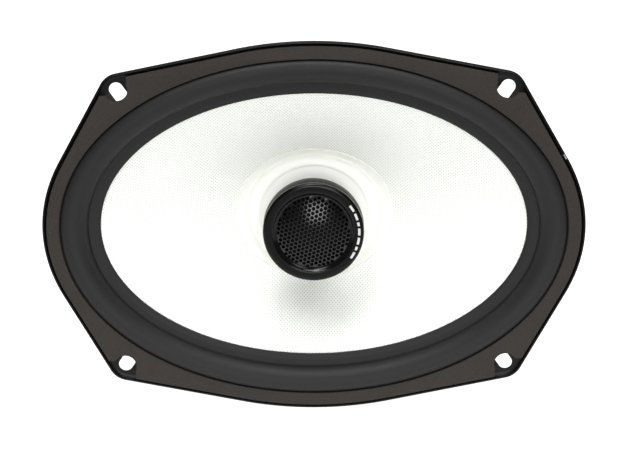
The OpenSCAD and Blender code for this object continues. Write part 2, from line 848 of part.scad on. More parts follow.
dome_h = 3.1;
dome_t = 0.3;
module tweeter_dome() {
    color("#3b3b40") facing() rotate_extrude($fn = round_fn)
        polygon(dome_line(dome_r - 0.05, dome_h, dome_z + 0.1, dome_t));
}

module tweeter_coil() {
    foot = disc_top_z - disc_t - dome_travel - 0.2;
    color("#a5552a") facing() washer(dome_r - tweeter_coil_t, dome_r - fit_gap, foot, dome_z - 0.4);
}

// ---- terminals and leads ----

module terminal_block() {
    color("#202020") facing() on_arm() difference() {
        union() {
            translate([-block_w / 2, -block_h / 2, 0.15]) cube([block_w, block_h, block_t]);
            translate([-boss_w / 2, -boss_h / 2, -boss_l]) cube([boss_w, boss_h, boss_l + 1]);
        }
        for (sx = [-1, 1]) {
            translate([sx * block_rivet_x, 0, -5])
                cylinder(r = block_rivet_r + fit_gap, h = 12, $fn = small_fn);
            blade_w = sx < 0 ? wide_blade_w : narrow_blade_w;
            translate([sx * blade_x - blade_w / 2 - fit_gap, -block_h, blade_z - fit_gap])
                cube([blade_w + 2 * fit_gap, block_h + blade_t, blade_t + 2 * fit_gap]);
            translate([sx * blade_x - tail_w / 2 - fit_gap, -fit_gap, -9])
                cube([tail_w + 2 * fit_gap, blade_t + 2 * fit_gap, 9 + blade_z + blade_t + fit_gap]);
        }
    }
}

blade_x = 5.2;
blade_z = block_t - 1.8;
tail_w = 2.4;
tail_l = 3.6;

// A blade that hangs out of the block, with a tail through the arm for the braid
module blade(sx, w) {
    translate([sx * blade_x - w / 2, -block_h / 2 - blade_l, blade_z])
        cube([w, block_h / 2 + blade_l + blade_t, blade_t]);
    translate([sx * blade_x - tail_w / 2, 0, -boss_l - tail_l])
        cube([tail_w, blade_t, boss_l + tail_l + blade_z + blade_t]);
}

module wide_terminal() { color("#c8b26a") facing() on_arm() blade(-1, wide_blade_w); }
module narrow_terminal() { color("#c8b26a") facing() on_arm() blade(1, narrow_blade_w); }

module terminal_rivets() {
    color("#b8babc") facing() on_arm() for (sx = [-1, 1]) translate([sx * block_rivet_x, 0, 0]) {
        translate([0, 0, -2]) cylinder(r = block_rivet_r, h = block_t + 2.4, $fn = small_fn);
        translate([0, 0, block_t + 0.2]) cylinder(r1 = 2.2, r2 = 1.4, h = 0.9, $fn = small_fn);
    }
}

// The capacitor lies across the arm, above the terminal block
capacitor_y = block_h / 2 + capacitor_r + 1;
capacitor_z = capacitor_r + 0.4;
module at_capacitor() {
    on_arm() translate([0, capacitor_y, capacitor_z]) rotate([0, 90, 0]) children();
}

module capacitor() {
    color("#23304a") facing() at_capacitor()
        cylinder(r = capacitor_r, h = capacitor_l, center = true, $fn = round_fn);
}

// The capacitor's two bare wires, bent down into the top of the block
leg_d = 0.8;
leg_out = 2;
module capacitor_legs() {
    color("#b9bbbd") facing() on_arm() for (side = [-1, 1]) {
        x = side * (capacitor_l / 2 + fit_gap);
        tube(bent([
            [x, capacitor_y, capacitor_z],
            [x + side * leg_out, capacitor_y, capacitor_z],
            [x + side * leg_out, block_h / 2 + seat_gap + leg_d / 4, block_t / 2]
        ], 1.5 * leg_d), leg_d, [0, 1, 0]);
    }
}

strap_w = 5;
strap_t = 0.8;
module capacitor_strap() {
    in_r = capacitor_r + fit_gap;
    color("#111111") facing() at_capacitor() difference() {
        cylinder(r = in_r + strap_t, h = strap_w, center = true, $fn = round_fn);
        cylinder(r = in_r, h = strap_w + 2, center = true, $fn = round_fn);
        translate([capacitor_z + 3 - 0.25, 0, 0]) cube([6, 20, strap_w + 2], center = true);
    }
}

// The tweeter's two leads: from the block down the side of the boot in its channel, in across the
// back, and up the hollow post to the tweeter. side is -1 for the live lead and 1 for the return.
lead_x = lead_d / 2 + 0.1;
lead_bend = 2 * lead_d;
// A place on the block, across it, up it and out of it
function on_block(x, y, z) =
    let (a = 180 - arm_lean)
    block_place + [x, y * cos(a) - z * sin(a), y * sin(a) + z * cos(a)];
function lead_route(side) =
    let (
        x = side * lead_x,
        side_y = -boot_r + groove_t - lead_d / 2 - 0.1,
        back_z = boot_back_z + groove_t - lead_d / 2 - 0.1,
        tab = block_h / 2 + 0.2
    )
    [
        on_block(x, -tab, block_t / 2),
        on_block(x, -tab - 3.5, block_t / 2),
        [x, side_y, plate_back_z - 2],
        [x, side_y, back_z],
        [x, 0, back_z],
        [x, 0, disc_top_z]
    ];

module tweeter_lead(side, shade) { color(shade) facing() tube(bent(lead_route(side), lead_bend), lead_d); }

module tweeter_lead_live() { tweeter_lead(-1, "#8e1f1c"); }
module tweeter_lead_return() { tweeter_lead(1, "#1b1b1b"); }

// The braided leads hang in a loose bow from the block's tails to the back of the cone
anchor_s = 0.2;
anchor_x = 9;
anchor_l = 3;
anchor_r = 1.5;
anchor_place = cone_ring(anchor_s);
anchor_y = -anchor_place[1] * sqrt(1 - pow(anchor_x / anchor_place[0], 2));
anchor_z = anchor_place[2] - 1.15 * cone_t - anchor_l;
function braid_route(side) =
    let (
        tail = on_block(side * blade_x, blade_t / 2, -boss_l - tail_l - braid_d / 2 - 0.1),
        end = [side * anchor_x, anchor_y, anchor_z - hang_gap]
    )
    [
        tail,
        [side * 7, tail[1] + 4, tail[2] - 1.5],
        [side * 8, (tail[1] + end[1]) / 2 - 2, min(tail[2], end[2]) - 3.5],
        [side * anchor_x, end[1] - 1.5, end[2] - 3],
        end
    ];

module braid(side) { color("#b4763c") facing() tube(curve(braid_route(side), 5), braid_d); }

module braid_live() { braid(-1); }
module braid_return() { braid(1); }

// The two eyelets that hold the braids' ends, pressed into the back of the cone
module braid_anchors() {
    color("#222222") facing() for (side = [-1, 1])
        translate([side * anchor_x, anchor_y, anchor_z]) cylinder(r = anchor_r, h = anchor_l, $fn = small_fn);
}

basket();
front_gasket();
surround();
cone();
cone_collar();
coil_former();
coil_winding();
spider();
top_plate();
magnet();
back_yoke();
magnet_boot();
chassis_rivets();
tweeter_post();
post_washer();
post_nut();
tweeter_housing();
tweeter_bezel();
tweeter_grille();
tweeter_cup();
tweeter_magnet();
tweeter_pole_disc();
tweeter_felt();
tweeter_clamp_ring();
tweeter_suspension();
tweeter_dome();
tweeter_coil();
terminal_block();
wide_terminal();
narrow_terminal();
terminal_rivets();
capacitor();
capacitor_legs();
capacitor_strap();
tweeter_lead_live();
tweeter_lead_return();
braid_live();
braid_return();
braid_anchors();
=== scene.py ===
import math

import bmesh
import bpy
from mathutils import Matrix, Quaternion, Vector


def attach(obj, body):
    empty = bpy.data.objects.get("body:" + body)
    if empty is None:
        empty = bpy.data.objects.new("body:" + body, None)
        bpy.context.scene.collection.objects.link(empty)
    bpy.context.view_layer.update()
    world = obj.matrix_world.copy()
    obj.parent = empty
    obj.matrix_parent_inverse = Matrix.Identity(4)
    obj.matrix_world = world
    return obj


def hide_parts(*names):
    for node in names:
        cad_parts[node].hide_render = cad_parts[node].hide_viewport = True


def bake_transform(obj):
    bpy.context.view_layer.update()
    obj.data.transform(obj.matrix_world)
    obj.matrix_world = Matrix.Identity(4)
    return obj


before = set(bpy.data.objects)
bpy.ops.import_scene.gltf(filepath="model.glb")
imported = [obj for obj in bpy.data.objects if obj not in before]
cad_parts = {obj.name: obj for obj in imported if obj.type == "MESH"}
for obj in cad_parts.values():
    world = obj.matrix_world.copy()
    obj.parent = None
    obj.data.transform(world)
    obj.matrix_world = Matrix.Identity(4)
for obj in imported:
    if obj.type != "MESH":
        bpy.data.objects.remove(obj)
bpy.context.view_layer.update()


# ---- Flange ----
# The chassis is stamped from 1.2 mm sheet steel and stoved in semi-gloss black enamel. Its flange
# seats on the panel: the edge is turned up into a low rim, four slots take the panel screws, and
# the wide oval opening is where the roll hangs.
#
# Shapes are drawn in millimetres along the speaker's own axis: x right, y up and z to the
# listener, from the back of the flange. FACING brings them to the frame, in metres. SEAM is the
# hair's breadth between two pieces that lie face to face.

FACING = Matrix.Rotation(math.pi / 2, 4, "X") @ Matrix.Diagonal((0.001, 0.001, 0.001, 1))
FLANGE_W, FLANGE_H = 235.0, 165.0
SHEET_T = 1.2
RIM_H = 1.2
RIM_T = 1.1
CORNER_R = 9.5
SEAM = 0.02
SLOT_W = 6.2
SLOT_TRAVEL = 5.6
SLOT_LEAN = math.radians(55.6)
SLOT_END = Vector((83.4, 62.05))
SLOT_WAY = Vector((math.cos(SLOT_LEAN), math.sin(SLOT_LEAN)))
SLOT_MID = SLOT_END - SLOT_WAY * SLOT_TRAVEL / 2
ROLL_A, ROLL_B = 110.0, 75.0
OPENING_IN = 0.9
CORNERS = [(sx, sy) for sx in (1, -1) for sy in (1, -1)]


class Reading:
    """A value or colour that changes over a surface. Sums with readings add the nodes for them."""

    def __init__(self, finish, socket):
        self.finish = finish
        self.socket = socket

    def math(self, operation, *others, turned=False):
        terms = (self, *others)
        if turned:
            terms = terms[::-1]
        return self.finish.node("ShaderNodeMath", {"operation": operation}, dict(enumerate(terms)))

    def __add__(self, other):
        return self.math("ADD", other)

    def __mul__(self, other):
        return self.math("MULTIPLY", other)

    def __sub__(self, other):
        return self.math("SUBTRACT", other)

    def __rsub__(self, other):
        return self.math("SUBTRACT", other, turned=True)

    def __gt__(self, other):
        return self.math("GREATER_THAN", other)

    __radd__ = __add__
    __rmul__ = __mul__


class Finish:
    """A surface finish. Constants are set on the shader itself, and paint() feeds what varies."""

    def __init__(self, name, **constants):
        self.material = bpy.data.materials.new(name)
        self.material.use_nodes = True
        self.tree = self.material.node_tree
        self.shader = self.tree.nodes["Principled BSDF"]
        for socket, value in constants.items():
            self.shader.inputs[socket.replace("_", " ")].default_value = value

    def feed(self, socket, value):
        if isinstance(value, Reading):
            self.tree.links.new(value.socket, socket)
        else:
            socket.default_value = value

    def node(self, kind, settings=None, inputs=None, output=0):
        made = self.tree.nodes.new(kind)
        for setting, value in (settings or {}).items():
            setattr(made, setting, value)
        for socket, value in (inputs or {}).items():
            self.feed(made.inputs[socket], value)
        return Reading(self, made.outputs[output])

    def place(self):
        return self.node("ShaderNodeTexCoord", output="Object")

    def along(self, axis):
        return self.node("ShaderNodeSeparateXYZ", inputs={0: self.place()}, output=axis)

    def cloud(self, size_mm, detail=3.0):
        """Noise from 0 to 1 whose blotches are about size_mm across"""
        inputs = {"Vector": self.place(), "Scale": 1000 / size_mm, "Detail": detail}
        return self.node("ShaderNodeTexNoise", inputs=inputs)

    def mix(self, mask, first, second):
        return self.node("ShaderNodeMix", {"data_type": "RGBA"}, {0: mask, 6: first, 7: second}, output=2)

    def relief(self, height, depth_mm, strength=1.0):
        inputs = {"Strength": strength, "Distance": depth_mm / 1000, "Height": height}
        return self.node("ShaderNodeBump", inputs=inputs)

    def paint(self, **sockets):
        for socket, value in sockets.items():
            self.feed(self.shader.inputs[socket.replace("_", " ")], value)
        return self


def grained(name, dark, light, rough, grain_mm, depth_mm, spread=0.12, **constants):
    """A finish with mottled colour, uneven gloss and a fine grain"""
    finish = Finish(name, **constants)
    blotch = finish.cloud(9.0)
    grain = finish.cloud(grain_mm, 2.0)
    tone = finish.mix(blotch * 0.6 + grain * 0.4, (*dark, 1), (*light, 1))
    gloss = blotch * spread + (rough - spread / 2)
    return finish.paint(Base_Color=tone, Roughness=gloss, Normal=finish.relief(grain, depth_mm))


def piece(name, bm, finish, crease=35, place=FACING):
    """Makes a drawn shape into an object, with edges over crease degrees left sharp"""
    bmesh.ops.transform(bm, matrix=place, verts=bm.verts)
    bmesh.ops.recalc_face_normals(bm, faces=bm.faces)
    mesh = bpy.data.meshes.new(name)
    bm.to_mesh(mesh)
    bm.free()
    mesh.materials.append(finish.material)
    mesh.shade_smooth()
    mesh.set_sharp_from_angle(angle=math.radians(crease))
    made = bpy.data.objects.new(name, mesh)
    bpy.context.scene.collection.objects.link(made)
    return made


def skin(rings, steps, closed=True, open_at=None):
    """A skin over rings, each a function from an angle to a point. Round rings a unit apart are
    spun first, and each of their points then goes to its own ring's place. Faces for which
    open_at(row, degrees) is true are left out."""
    bm = bmesh.new()
    line = [bm.verts.new((k + 1, 0, 0)) for k in range(len(rings))]
    for first, second in zip(line, line[1:]):
        bm.edges.new((first, second))
    if closed:
        bm.edges.new((line[-1], line[0]))
    bmesh.ops.spin(
        bm, geom=bm.verts[:] + bm.edges[:], axis=(0, 0, 1), cent=(0, 0, 0),
        angle=2 * math.pi, steps=steps, use_merge=True,
    )
    if open_at:
        middles = {face: face.calc_center_median() for face in bm.faces}
        gone = [
            face for face, middle in middles.items()
            if open_at(int(middle.length), math.degrees(math.atan2(middle.y, middle.x)))
        ]
        bmesh.ops.delete(bm, geom=gone, context="FACES")
    for vert in bm.verts:
        ring = rings[round(vert.co.xy.length) - 1]
        vert.co = ring(math.atan2(vert.co.y, vert.co.x))
    return bm


def soften(bm, radius, angle=35, segments=2):
    """Rounds every edge that turns by more than angle degrees"""
    bm.normal_update()
    sharp = [e for e in bm.edges if len(e.link_faces) == 2 and e.calc_face_angle() > math.radians(angle)]
    bmesh.ops.bevel(
        bm, geom=sharp, offset=radius, offset_type="OFFSET", segments=segments, profile=0.5,
        affect="EDGES", material=-1, clamp_overlap=True,
    )
    return bm


def edge_ring(inset, z):
    """The flange's edge drawn in by inset: the tightest band round the oval and its corners"""
    def point(angle):
        way = Vector((math.cos(angle), math.sin(angle)))
        a, b = FLANGE_W / 2 - inset, FLANGE_H / 2 - inset
        oval = Vector((a * a * way.x, b * b * way.y)) / math.hypot(a * way.x, b * way.y)
        mid = Vector((math.copysign(SLOT_MID.x, way.x), math.copysign(SLOT_MID.y, way.y)))
        corner = mid + way * (CORNER_R - inset)
        chosen = oval if oval.dot(way) > corner.dot(way) else corner
        return chosen.x, chosen.y, z
    return point


def oval_ring(a, b, z):
    return lambda angle: (a * math.cos(angle), b * math.sin(angle), z)


def plate(outlines, low, high, edge):
    """A flat sheet from low to high with rounded edges. The first outline is its rim, and the
    others are its openings."""
    curve = bpy.data.curves.new("outline", "CURVE")
    curve.dimensions = "2D"
    curve.fill_mode = "BOTH"
    curve.extrude = (high - low) / 2 - edge
    curve.bevel_depth = edge
    curve.bevel_resolution = 2
    curve.offset = -edge
    for line in outlines:
        spline = curve.splines.new("POLY")
        spline.points.add(len(line) - 1)
        for point, (x, y) in zip(spline.points, line):
            point.co = (x, y, 0, 1)
        spline.use_cyclic_u = True
    drawn = bpy.data.objects.new("outline", curve)
    mesh = bpy.data.meshes.new_from_object(drawn)
    bm = bmesh.new()
    bm.from_mesh(mesh)
    bpy.data.objects.remove(drawn)
    bpy.data.meshes.remove(mesh)
    bmesh.ops.remove_doubles(bm, verts=bm.verts, dist=0.0005)
    bmesh.ops.translate(bm, verts=bm.verts, vec=(0, 0, (low + high) / 2))
    return bm


def round_line(ring, points=240):
    """The flat outline that a ring makes"""
    return [ring((k + 0.5) * 2 * math.pi / points)[:2] for k in range(points)]


def slot_line(sx, sy):
    """A screw slot: two half circles about its end centres"""
    way = Vector((sx * SLOT_WAY.x, sy * SLOT_WAY.y))
    mid = Vector((sx * SLOT_MID.x, sy * SLOT_MID.y))
    lean = math.atan2(way.y, way.x)
    line = []
    for k in range(32):
        angle = (k + 0.5) * 2 * math.pi / 32 - math.pi / 2
        end = mid + way * math.copysign(SLOT_TRAVEL / 2, math.cos(angle))
        line.append(end + Vector((math.cos(angle + lean), math.sin(angle + lean))) * SLOT_W / 2)
    return line


enamel = grained(
    "black_enamel", (0.0025, 0.0025, 0.0025), (0.005, 0.005, 0.005), 0.3, 1.1, 0.012,
    Specular_IOR_Level=0.15,
)
# A chip of bare steel on the rim, high on the right
chip_at = (0.1079, -0.0024, 0.0315)
chip_far = enamel.node(
    "ShaderNodeVectorMath", {"operation": "DISTANCE"}, {0: enamel.place(), 1: chip_at}, output="Value",
)
chip = (enamel.cloud(0.8) * 0.003 - chip_far) > 0.0003
tone = enamel.shader.inputs["Base Color"].links[0].from_socket
enamel.paint(
    Base_Color=enamel.mix(chip, Reading(enamel, tone), (0.55, 0.54, 0.52, 1)),
    Metallic=chip * 1.0,
)

sheet = plate(
    [
        round_line(edge_ring(RIM_T / 2, 0)),
        round_line(oval_ring(ROLL_A - OPENING_IN, ROLL_B - OPENING_IN, 0)),
        *[slot_line(sx, sy) for sx, sy in CORNERS],
    ],
    0, SHEET_T, 0.22,
)
flange = piece("chassis_flange", sheet, enamel)
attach(flange, "chassis")
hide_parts("basket")

RIM_TOP = SHEET_T + RIM_H
rim_line = [
    (2.6, SHEET_T), (1.5, SHEET_T + 0.15), (RIM_T, SHEET_T + 0.5), (RIM_T, RIM_TOP - 0.3),
    (RIM_T - 0.25, RIM_TOP), (0.33, RIM_TOP), (0.03, RIM_TOP - 0.35), (0.03, 0.9), (0.33, 0.3),
    (1.0, SEAM), (2.6, SEAM),
]
rim = piece("flange_rim", skin([edge_ring(d, z) for d, z in rim_line], 240), enamel, 50)
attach(rim, "chassis")


# ---- Chassis bowl ----
# Below the flange the same sheet is drawn into an oval bowl. Six windows leave six arms, each
# stamped with a rib that stiffens it, down to the cup that carries the spider and the motor.

CUP_R = 43.0
CUP_IN_R = CUP_R - SHEET_T
SPIDER_R = 49.0
LEDGE_R = SPIDER_R + 0.4
LEDGE_Z = -43.65
PLATE_Z = -51.85
MAGNET_BORE_R = 23.55
BEAD_T = 3.6
BEAD_R = LEDGE_R + BEAD_T
ARM_FOOT = LEDGE_R + BEAD_T / 2 + 1
ARM_FOOT_Z = LEDGE_Z + 4
BAND_Z = -14.0
BAND_IN = 6.5
RIB_H = 1.3
RIB_HALF = 4.5
ARM_SHARES = (0.0, 0.05, 0.2, 0.35, 0.5, 0.65, 0.8, 0.95, 1.0)


def off_arm(degrees):
    """How far round a place is from the middle of the nearest arm"""
    return abs(degrees % 60 - 30)


def arm_ring(share):
    """The bowl at a share of the way from the flange's band to the foot of the arms, with each
    arm's rib standing out along its middle"""
    bulge = math.sin(math.pi * share)
    a = (ROLL_A - BAND_IN) * (1 - share) + (ARM_FOOT + 1.5) * share + 3 * bulge
    b = (ROLL_B - BAND_IN) * (1 - share) + ARM_FOOT * share + 1.5 * bulge
    z = BAND_Z + (ARM_FOOT_Z - BAND_Z) * share
    height = RIB_H * min(1, 3 * bulge)

    def point(angle):
        across = min(1, off_arm(math.degrees(angle)) / RIB_HALF)
        rib = height * math.cos(across * math.pi / 2)
        return (a + rib) * math.cos(angle), (b + rib) * math.sin(angle), z
    return point


bowl_rings = [
    oval_ring(ROLL_A - 0.1, ROLL_B - 0.1, 0.6),
    oval_ring(ROLL_A - 0.2, ROLL_B - 0.2, -2),
    oval_ring(ROLL_A - OPENING_IN, ROLL_B - OPENING_IN, -5),
    oval_ring(ROLL_A - 2.8, ROLL_B - 2.8, -8.5),
    *[arm_ring(share) for share in ARM_SHARES],
    oval_ring(LEDGE_R + 2, LEDGE_R + 2, LEDGE_Z + 0.6),
]
ARM_HALF = 10
bowl = skin(bowl_rings, 360, False, lambda row, degrees: 6 <= row <= 11 and off_arm(degrees) > ARM_HALF)
bmesh.ops.recalc_face_normals(bowl, faces=bowl.faces)
bmesh.ops.solidify(bowl, geom=bowl.faces[:], thickness=SHEET_T)
shell = piece("chassis_bowl", soften(bowl, 0.3, 50), enamel, 40)
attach(shell, "chassis")


def turned(profile, steps=128):
    """A round shape from its closed outline of (radius, height) points"""
    return skin([oval_ring(r, r, z) for r, z in profile], steps)


cup = turned([
    (MAGNET_BORE_R, PLATE_Z), (CUP_R - 0.8, PLATE_Z), (CUP_R - 0.2, PLATE_Z + 0.25),
    (CUP_R, PLATE_Z + 0.8), (CUP_R, LEDGE_Z - 1.85), (CUP_R + 0.4, LEDGE_Z - SHEET_T),
    (BEAD_R - 0.8, LEDGE_Z - SHEET_T), (BEAD_R - 0.2, LEDGE_Z - 0.95), (BEAD_R, LEDGE_Z - 0.45),
    (BEAD_R, LEDGE_Z + 1.55), (BEAD_R - 0.3, LEDGE_Z + 2), (LEDGE_R + 0.5, LEDGE_Z + 2),
    (LEDGE_R + 0.1, LEDGE_Z + 1.75), (LEDGE_R, LEDGE_Z), (CUP_IN_R + 0.5, LEDGE_Z),
    (CUP_IN_R, LEDGE_Z - 0.45), (CUP_IN_R, PLATE_Z + 1.55), (CUP_IN_R - 0.4, PLATE_Z + SHEET_T),
    (MAGNET_BORE_R, PLATE_Z + SHEET_T),
], 160)
seat = piece("chassis_cup", cup, enamel, 50)
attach(seat, "chassis")


# ---- Magnet motor ----
# Behind the cup come a plated top plate, the ferrite ring and the plated yoke whose pole stands
# in the coil. Six rivets hold the plate to the cup, and glue and pull hold the rest together.

def from_cad(node, finish, body, radius=0.15, crease=35):
    """A CAD part with its edges rounded, in the finish that shows in its place"""
    bm = bmesh.new()
    bm.from_mesh(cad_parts[node].data)
    bmesh.ops.remove_doubles(bm, verts=bm.verts, dist=1e-6)
    bmesh.ops.dissolve_limit(bm, angle_limit=math.radians(1), verts=bm.verts, edges=bm.edges)
    if radius:
        soften(bm, radius / 1000)
    made = piece(f"{node}_finished", bm, finish, crease, Matrix.Identity(4))
    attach(made, body)
    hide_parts(node)
    return made


def show(bm, name, finish, body, node=None, crease=35):
    """A drawn shape on its body, in its finish, in place of the CAD part it stands for"""
    made = piece(name, bm, finish, crease)
    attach(made, body)
    if node:
        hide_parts(node)
    return made


zinc = grained(
    "zinc_plate", (0.42, 0.43, 0.44), (0.6, 0.61, 0.62), 0.36, 0.8, 0.008, 0.2, Metallic=1.0,
)
ferrite = grained("ferrite", (0.035, 0.035, 0.038), (0.07, 0.07, 0.075), 0.55, 0.5, 0.05)
boot_rubber = grained("boot_rubber", (0.014, 0.014, 0.015), (0.03, 0.03, 0.03), 0.62, 0.5, 0.03)
rivet_steel = grained("rivet_steel", (0.5, 0.5, 0.5), (0.68, 0.68, 0.67), 0.3, 0.6, 0.01, Metallic=1.0)

PLATE_BACK_Z = -57.85
MAGNET_BACK_Z = -73.85
GAP_R, PLATE_R, MAGNET_R = 19.25, 42.0, 45.0
# Room for the film of glue on each face of the plates
GLUE = 0.03
show(turned([
    (GAP_R, PLATE_BACK_Z + 0.3), (GAP_R + 0.3, PLATE_BACK_Z), (PLATE_R - 0.6, PLATE_BACK_Z),
    (PLATE_R, PLATE_BACK_Z + 0.6), (PLATE_R, PLATE_Z - 0.65), (PLATE_R - 0.6, PLATE_Z - GLUE),
    (GAP_R + 0.3, PLATE_Z - GLUE), (GAP_R, PLATE_Z - 0.35),
]), "top_plate_turned", zinc, "chassis", "top_plate")
show(turned([
    (MAGNET_BORE_R, MAGNET_BACK_Z + 0.65), (MAGNET_BORE_R + 0.6, MAGNET_BACK_Z + GLUE),
    (MAGNET_R - 1, MAGNET_BACK_Z + GLUE), (MAGNET_R, MAGNET_BACK_Z + 1.05), (MAGNET_R, PLATE_BACK_Z - 1.05),
    (MAGNET_R - 1, PLATE_BACK_Z - GLUE), (MAGNET_BORE_R + 0.6, PLATE_BACK_Z - GLUE),
    (MAGNET_BORE_R, PLATE_BACK_Z - 0.65),
]), "magnet_ring", ferrite, "chassis", "magnet")
from_cad("back_yoke", zinc, "chassis", 0.4)
from_cad("magnet_boot", boot_rubber, "chassis", 0.3)

RIVETS = 6
RIVET_CIRCLE = 33.0
RIVET_FOOT = PLATE_BACK_Z + 0.45
RIVET_SEAT = PLATE_Z + SHEET_T


def copies(bm, places):
    """The same shape at several places"""
    source = bm.verts[:] + bm.edges[:] + bm.faces[:]
    for place in places:
        made = bmesh.ops.duplicate(bm, geom=source)["geom"]
        bmesh.ops.transform(bm, matrix=place, verts=[g for g in made if isinstance(g, bmesh.types.BMVert)])
    bmesh.ops.delete(bm, geom=source, context="VERTS")
    return bm


def lid(bm):
    """Closes the openings that a turned shape leaves where it meets its axis"""
    bmesh.ops.holes_fill(bm, edges=[e for e in bm.edges if e.is_boundary], sides=0)
    return bm


def round_bar(profile, steps=32):
    """A solid round shape from its (radius, height) line, closed at both ends"""
    return lid(skin([oval_ring(r, r, z) for r, z in profile], steps, False))


rivet = round_bar([
    (1.7, RIVET_FOOT), (1.8, RIVET_FOOT + 0.1), (1.8, RIVET_SEAT + 0.05), (3.1, RIVET_SEAT + 0.1),
    (3.24, RIVET_SEAT + 0.35), (3.15, RIVET_SEAT + 0.75), (2.7, RIVET_SEAT + 1.1), (1.9, RIVET_SEAT + 1.25),
    (1.6, RIVET_SEAT + 1.15), (1.3, RIVET_SEAT + 0.65), (1.1, RIVET_SEAT + 0.35),
])
rivet_ways = [Matrix.Rotation(2 * math.pi * (k + 0.5) / RIVETS, 4, "Z") for k in range(RIVETS)]
rivet_places = [way @ Matrix.Translation((RIVET_CIRCLE, 0, 0)) for way in rivet_ways]
show(
    copies(rivet, rivet_places), "chassis_rivet_heads", rivet_steel,
    "chassis", "chassis_rivets",
)


# ---- Coil and its former ----
# The coil is two layers of enamelled copper on a former of amber film, whose top is glued into
# the neck of the cone. It hangs in the gap between the top plate and the pole.

FORMER_IN_R, FORMER_R = 17.5, 17.85
FORMER_FOOT, FORMER_TOP = -62.85, -32.5
former_film = grained(
    "former_film", (0.5, 0.32, 0.13), (0.62, 0.42, 0.2), 0.35, 1.5, 0.01, Metallic=0.6,
)
copper = grained("enamelled_copper", (0.4, 0.12, 0.05), (0.6, 0.22, 0.1), 0.28, 0.4, 0.01, Metallic=0.9)
show(turned([
    (FORMER_IN_R, FORMER_FOOT + 0.05), (FORMER_IN_R + 0.05, FORMER_FOOT), (FORMER_R - 0.05, FORMER_FOOT),
    (FORMER_R, FORMER_FOOT + 0.05), (FORMER_R, FORMER_TOP - 0.05), (FORMER_R - 0.05, FORMER_TOP),
    (FORMER_IN_R + 0.05, FORMER_TOP), (FORMER_IN_R, FORMER_TOP - 0.05),
]), "coil_former_turned", former_film, "cone_group", "coil_former")

WINDING_FOOT, WINDING_TOP, TURNS = -61.85, -47.85, 46
VALLEY_R, CREST_R = 18.42, 18.6
pitch = (WINDING_TOP - WINDING_FOOT) / TURNS
wire = [(FORMER_R + SEAM, WINDING_TOP), (FORMER_R + SEAM, WINDING_FOOT)]
for k in range(TURNS):
    foot = WINDING_FOOT + k * pitch
    wire += [(VALLEY_R, foot + 0.02), (CREST_R, foot + pitch * 0.3), (CREST_R, foot + pitch * 0.7)]
wire.append((VALLEY_R, WINDING_TOP))
show(turned(wire, 96), "coil_winding_turns", copper, "cone_group", "coil_winding", 75)


# ---- Spider ----
# A disc of corrugated cotton, stiffened with resin. It is glued to the chassis ledge outside and
# to the former inside, so its waves bend as the cone travels.

def weave_height(finish, pitch_mm, over=(1, 2)):
    """Height of a plain weave: threads both ways, each over one and under the next"""
    count = 1000 * math.pi / pitch_mm
    across, up = (finish.along(axis) * count for axis in over)
    return across.math("SINE") * up.math("SINE")


def flex(obj, weight):
    """Bakes a piece's place into its mesh and works out weight(point) at each of its points: 0
    where it would stay with the chassis and 1 where it would go with a moving body. The weights
    are not kept, so the piece is not bent."""
    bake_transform(obj)
    values = [weight(vert.co) for vert in obj.data.vertices]


def easing(share):
    """A share from 0 to 1 that starts and stops gently"""
    share = min(1, max(0, share))
    return share * share * (3 - 2 * share)


SPIDER_Z = -43.3
SPIDER_IN_R = 18.15
SPIDER_T = 0.7
SPIDER_WAVES, SPIDER_WAVE_H = 6, 1.3
SPIDER_FLAT = 2.0
SPIDER_SPAN = (SPIDER_IN_R / 1000, (LEDGE_R - 8) / 1000)
spider_cloth = Finish("spider_cloth", Specular_IOR_Level=0.3)
thread = weave_height(spider_cloth, 0.8, (0, 2))
fade = spider_cloth.cloud(14)
spider_cloth.paint(
    Base_Color=spider_cloth.mix(thread * 0.4 + fade * 0.6, (0.42, 0.23, 0.06, 1), (0.62, 0.38, 0.12, 1)),
    Roughness=fade * 0.2 + 0.7,
    Normal=spider_cloth.relief(thread, 0.15),
)


def spider_line(radius):
    """Height of the spider's middle at a radius: flat at its neck and on the ledge"""
    first, last = SPIDER_IN_R + SPIDER_FLAT, CUP_IN_R - 0.8
    share = (radius - first) / (last - first)
    if not 0 < share < 1:
        return SPIDER_Z
    ends = min(1, SPIDER_WAVES * share, SPIDER_WAVES * (1 - share))
    return SPIDER_Z + SPIDER_WAVE_H * math.sin(2 * math.pi * SPIDER_WAVES * share) * ends


radii = [SPIDER_IN_R + (SPIDER_R - SPIDER_IN_R) * k / 90 for k in range(91)]
cloth = [(r, spider_line(r) + SPIDER_T / 2) for r in radii]
cloth += [(r, spider_line(r) - SPIDER_T / 2) for r in reversed(radii)]
spider = piece("spider_cloth_disc", turned(cloth, 144), spider_cloth, 60)


def spider_share(point):
    """How much of the cone's travel a point takes: all at the neck, none at the cup's wall"""
    inner, outer = SPIDER_SPAN
    return easing((outer - math.hypot(point.x, point.z)) / (outer - inner - SPIDER_FLAT / 1000))


flex(spider, spider_share)
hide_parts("spider")


# ---- Cone ----
# The cone is one sheet of woven fibre set in clear resin, pressed from a round neck to an oval
# edge. Its edge is glued under the land of the roll, and its neck to the former.

NECK_R, NECK_Z = 17.95, -34.0
RIM_A, RIM_B, CONE_DEPTH = 92.5, 58.8, 30.7
CONE_T = 0.9
CONE_FLARE, CONE_OVAL = 0.75, 0.88


def cone_ring(share):
    """The cone's front at a share of the way from its neck to its edge: it flares as it comes
    forward, and turns from round to oval"""
    return oval_ring(
        NECK_R + (RIM_A - NECK_R) * share,
        NECK_R + (RIM_B - NECK_R) * share ** CONE_OVAL,
        NECK_Z + CONE_DEPTH * share ** CONE_FLARE,
    )


def moved(ring, drop):
    """A ring moved back along the axis"""
    def point(angle):
        x, y, z = ring(angle)
        return x, y, z - drop
    return point


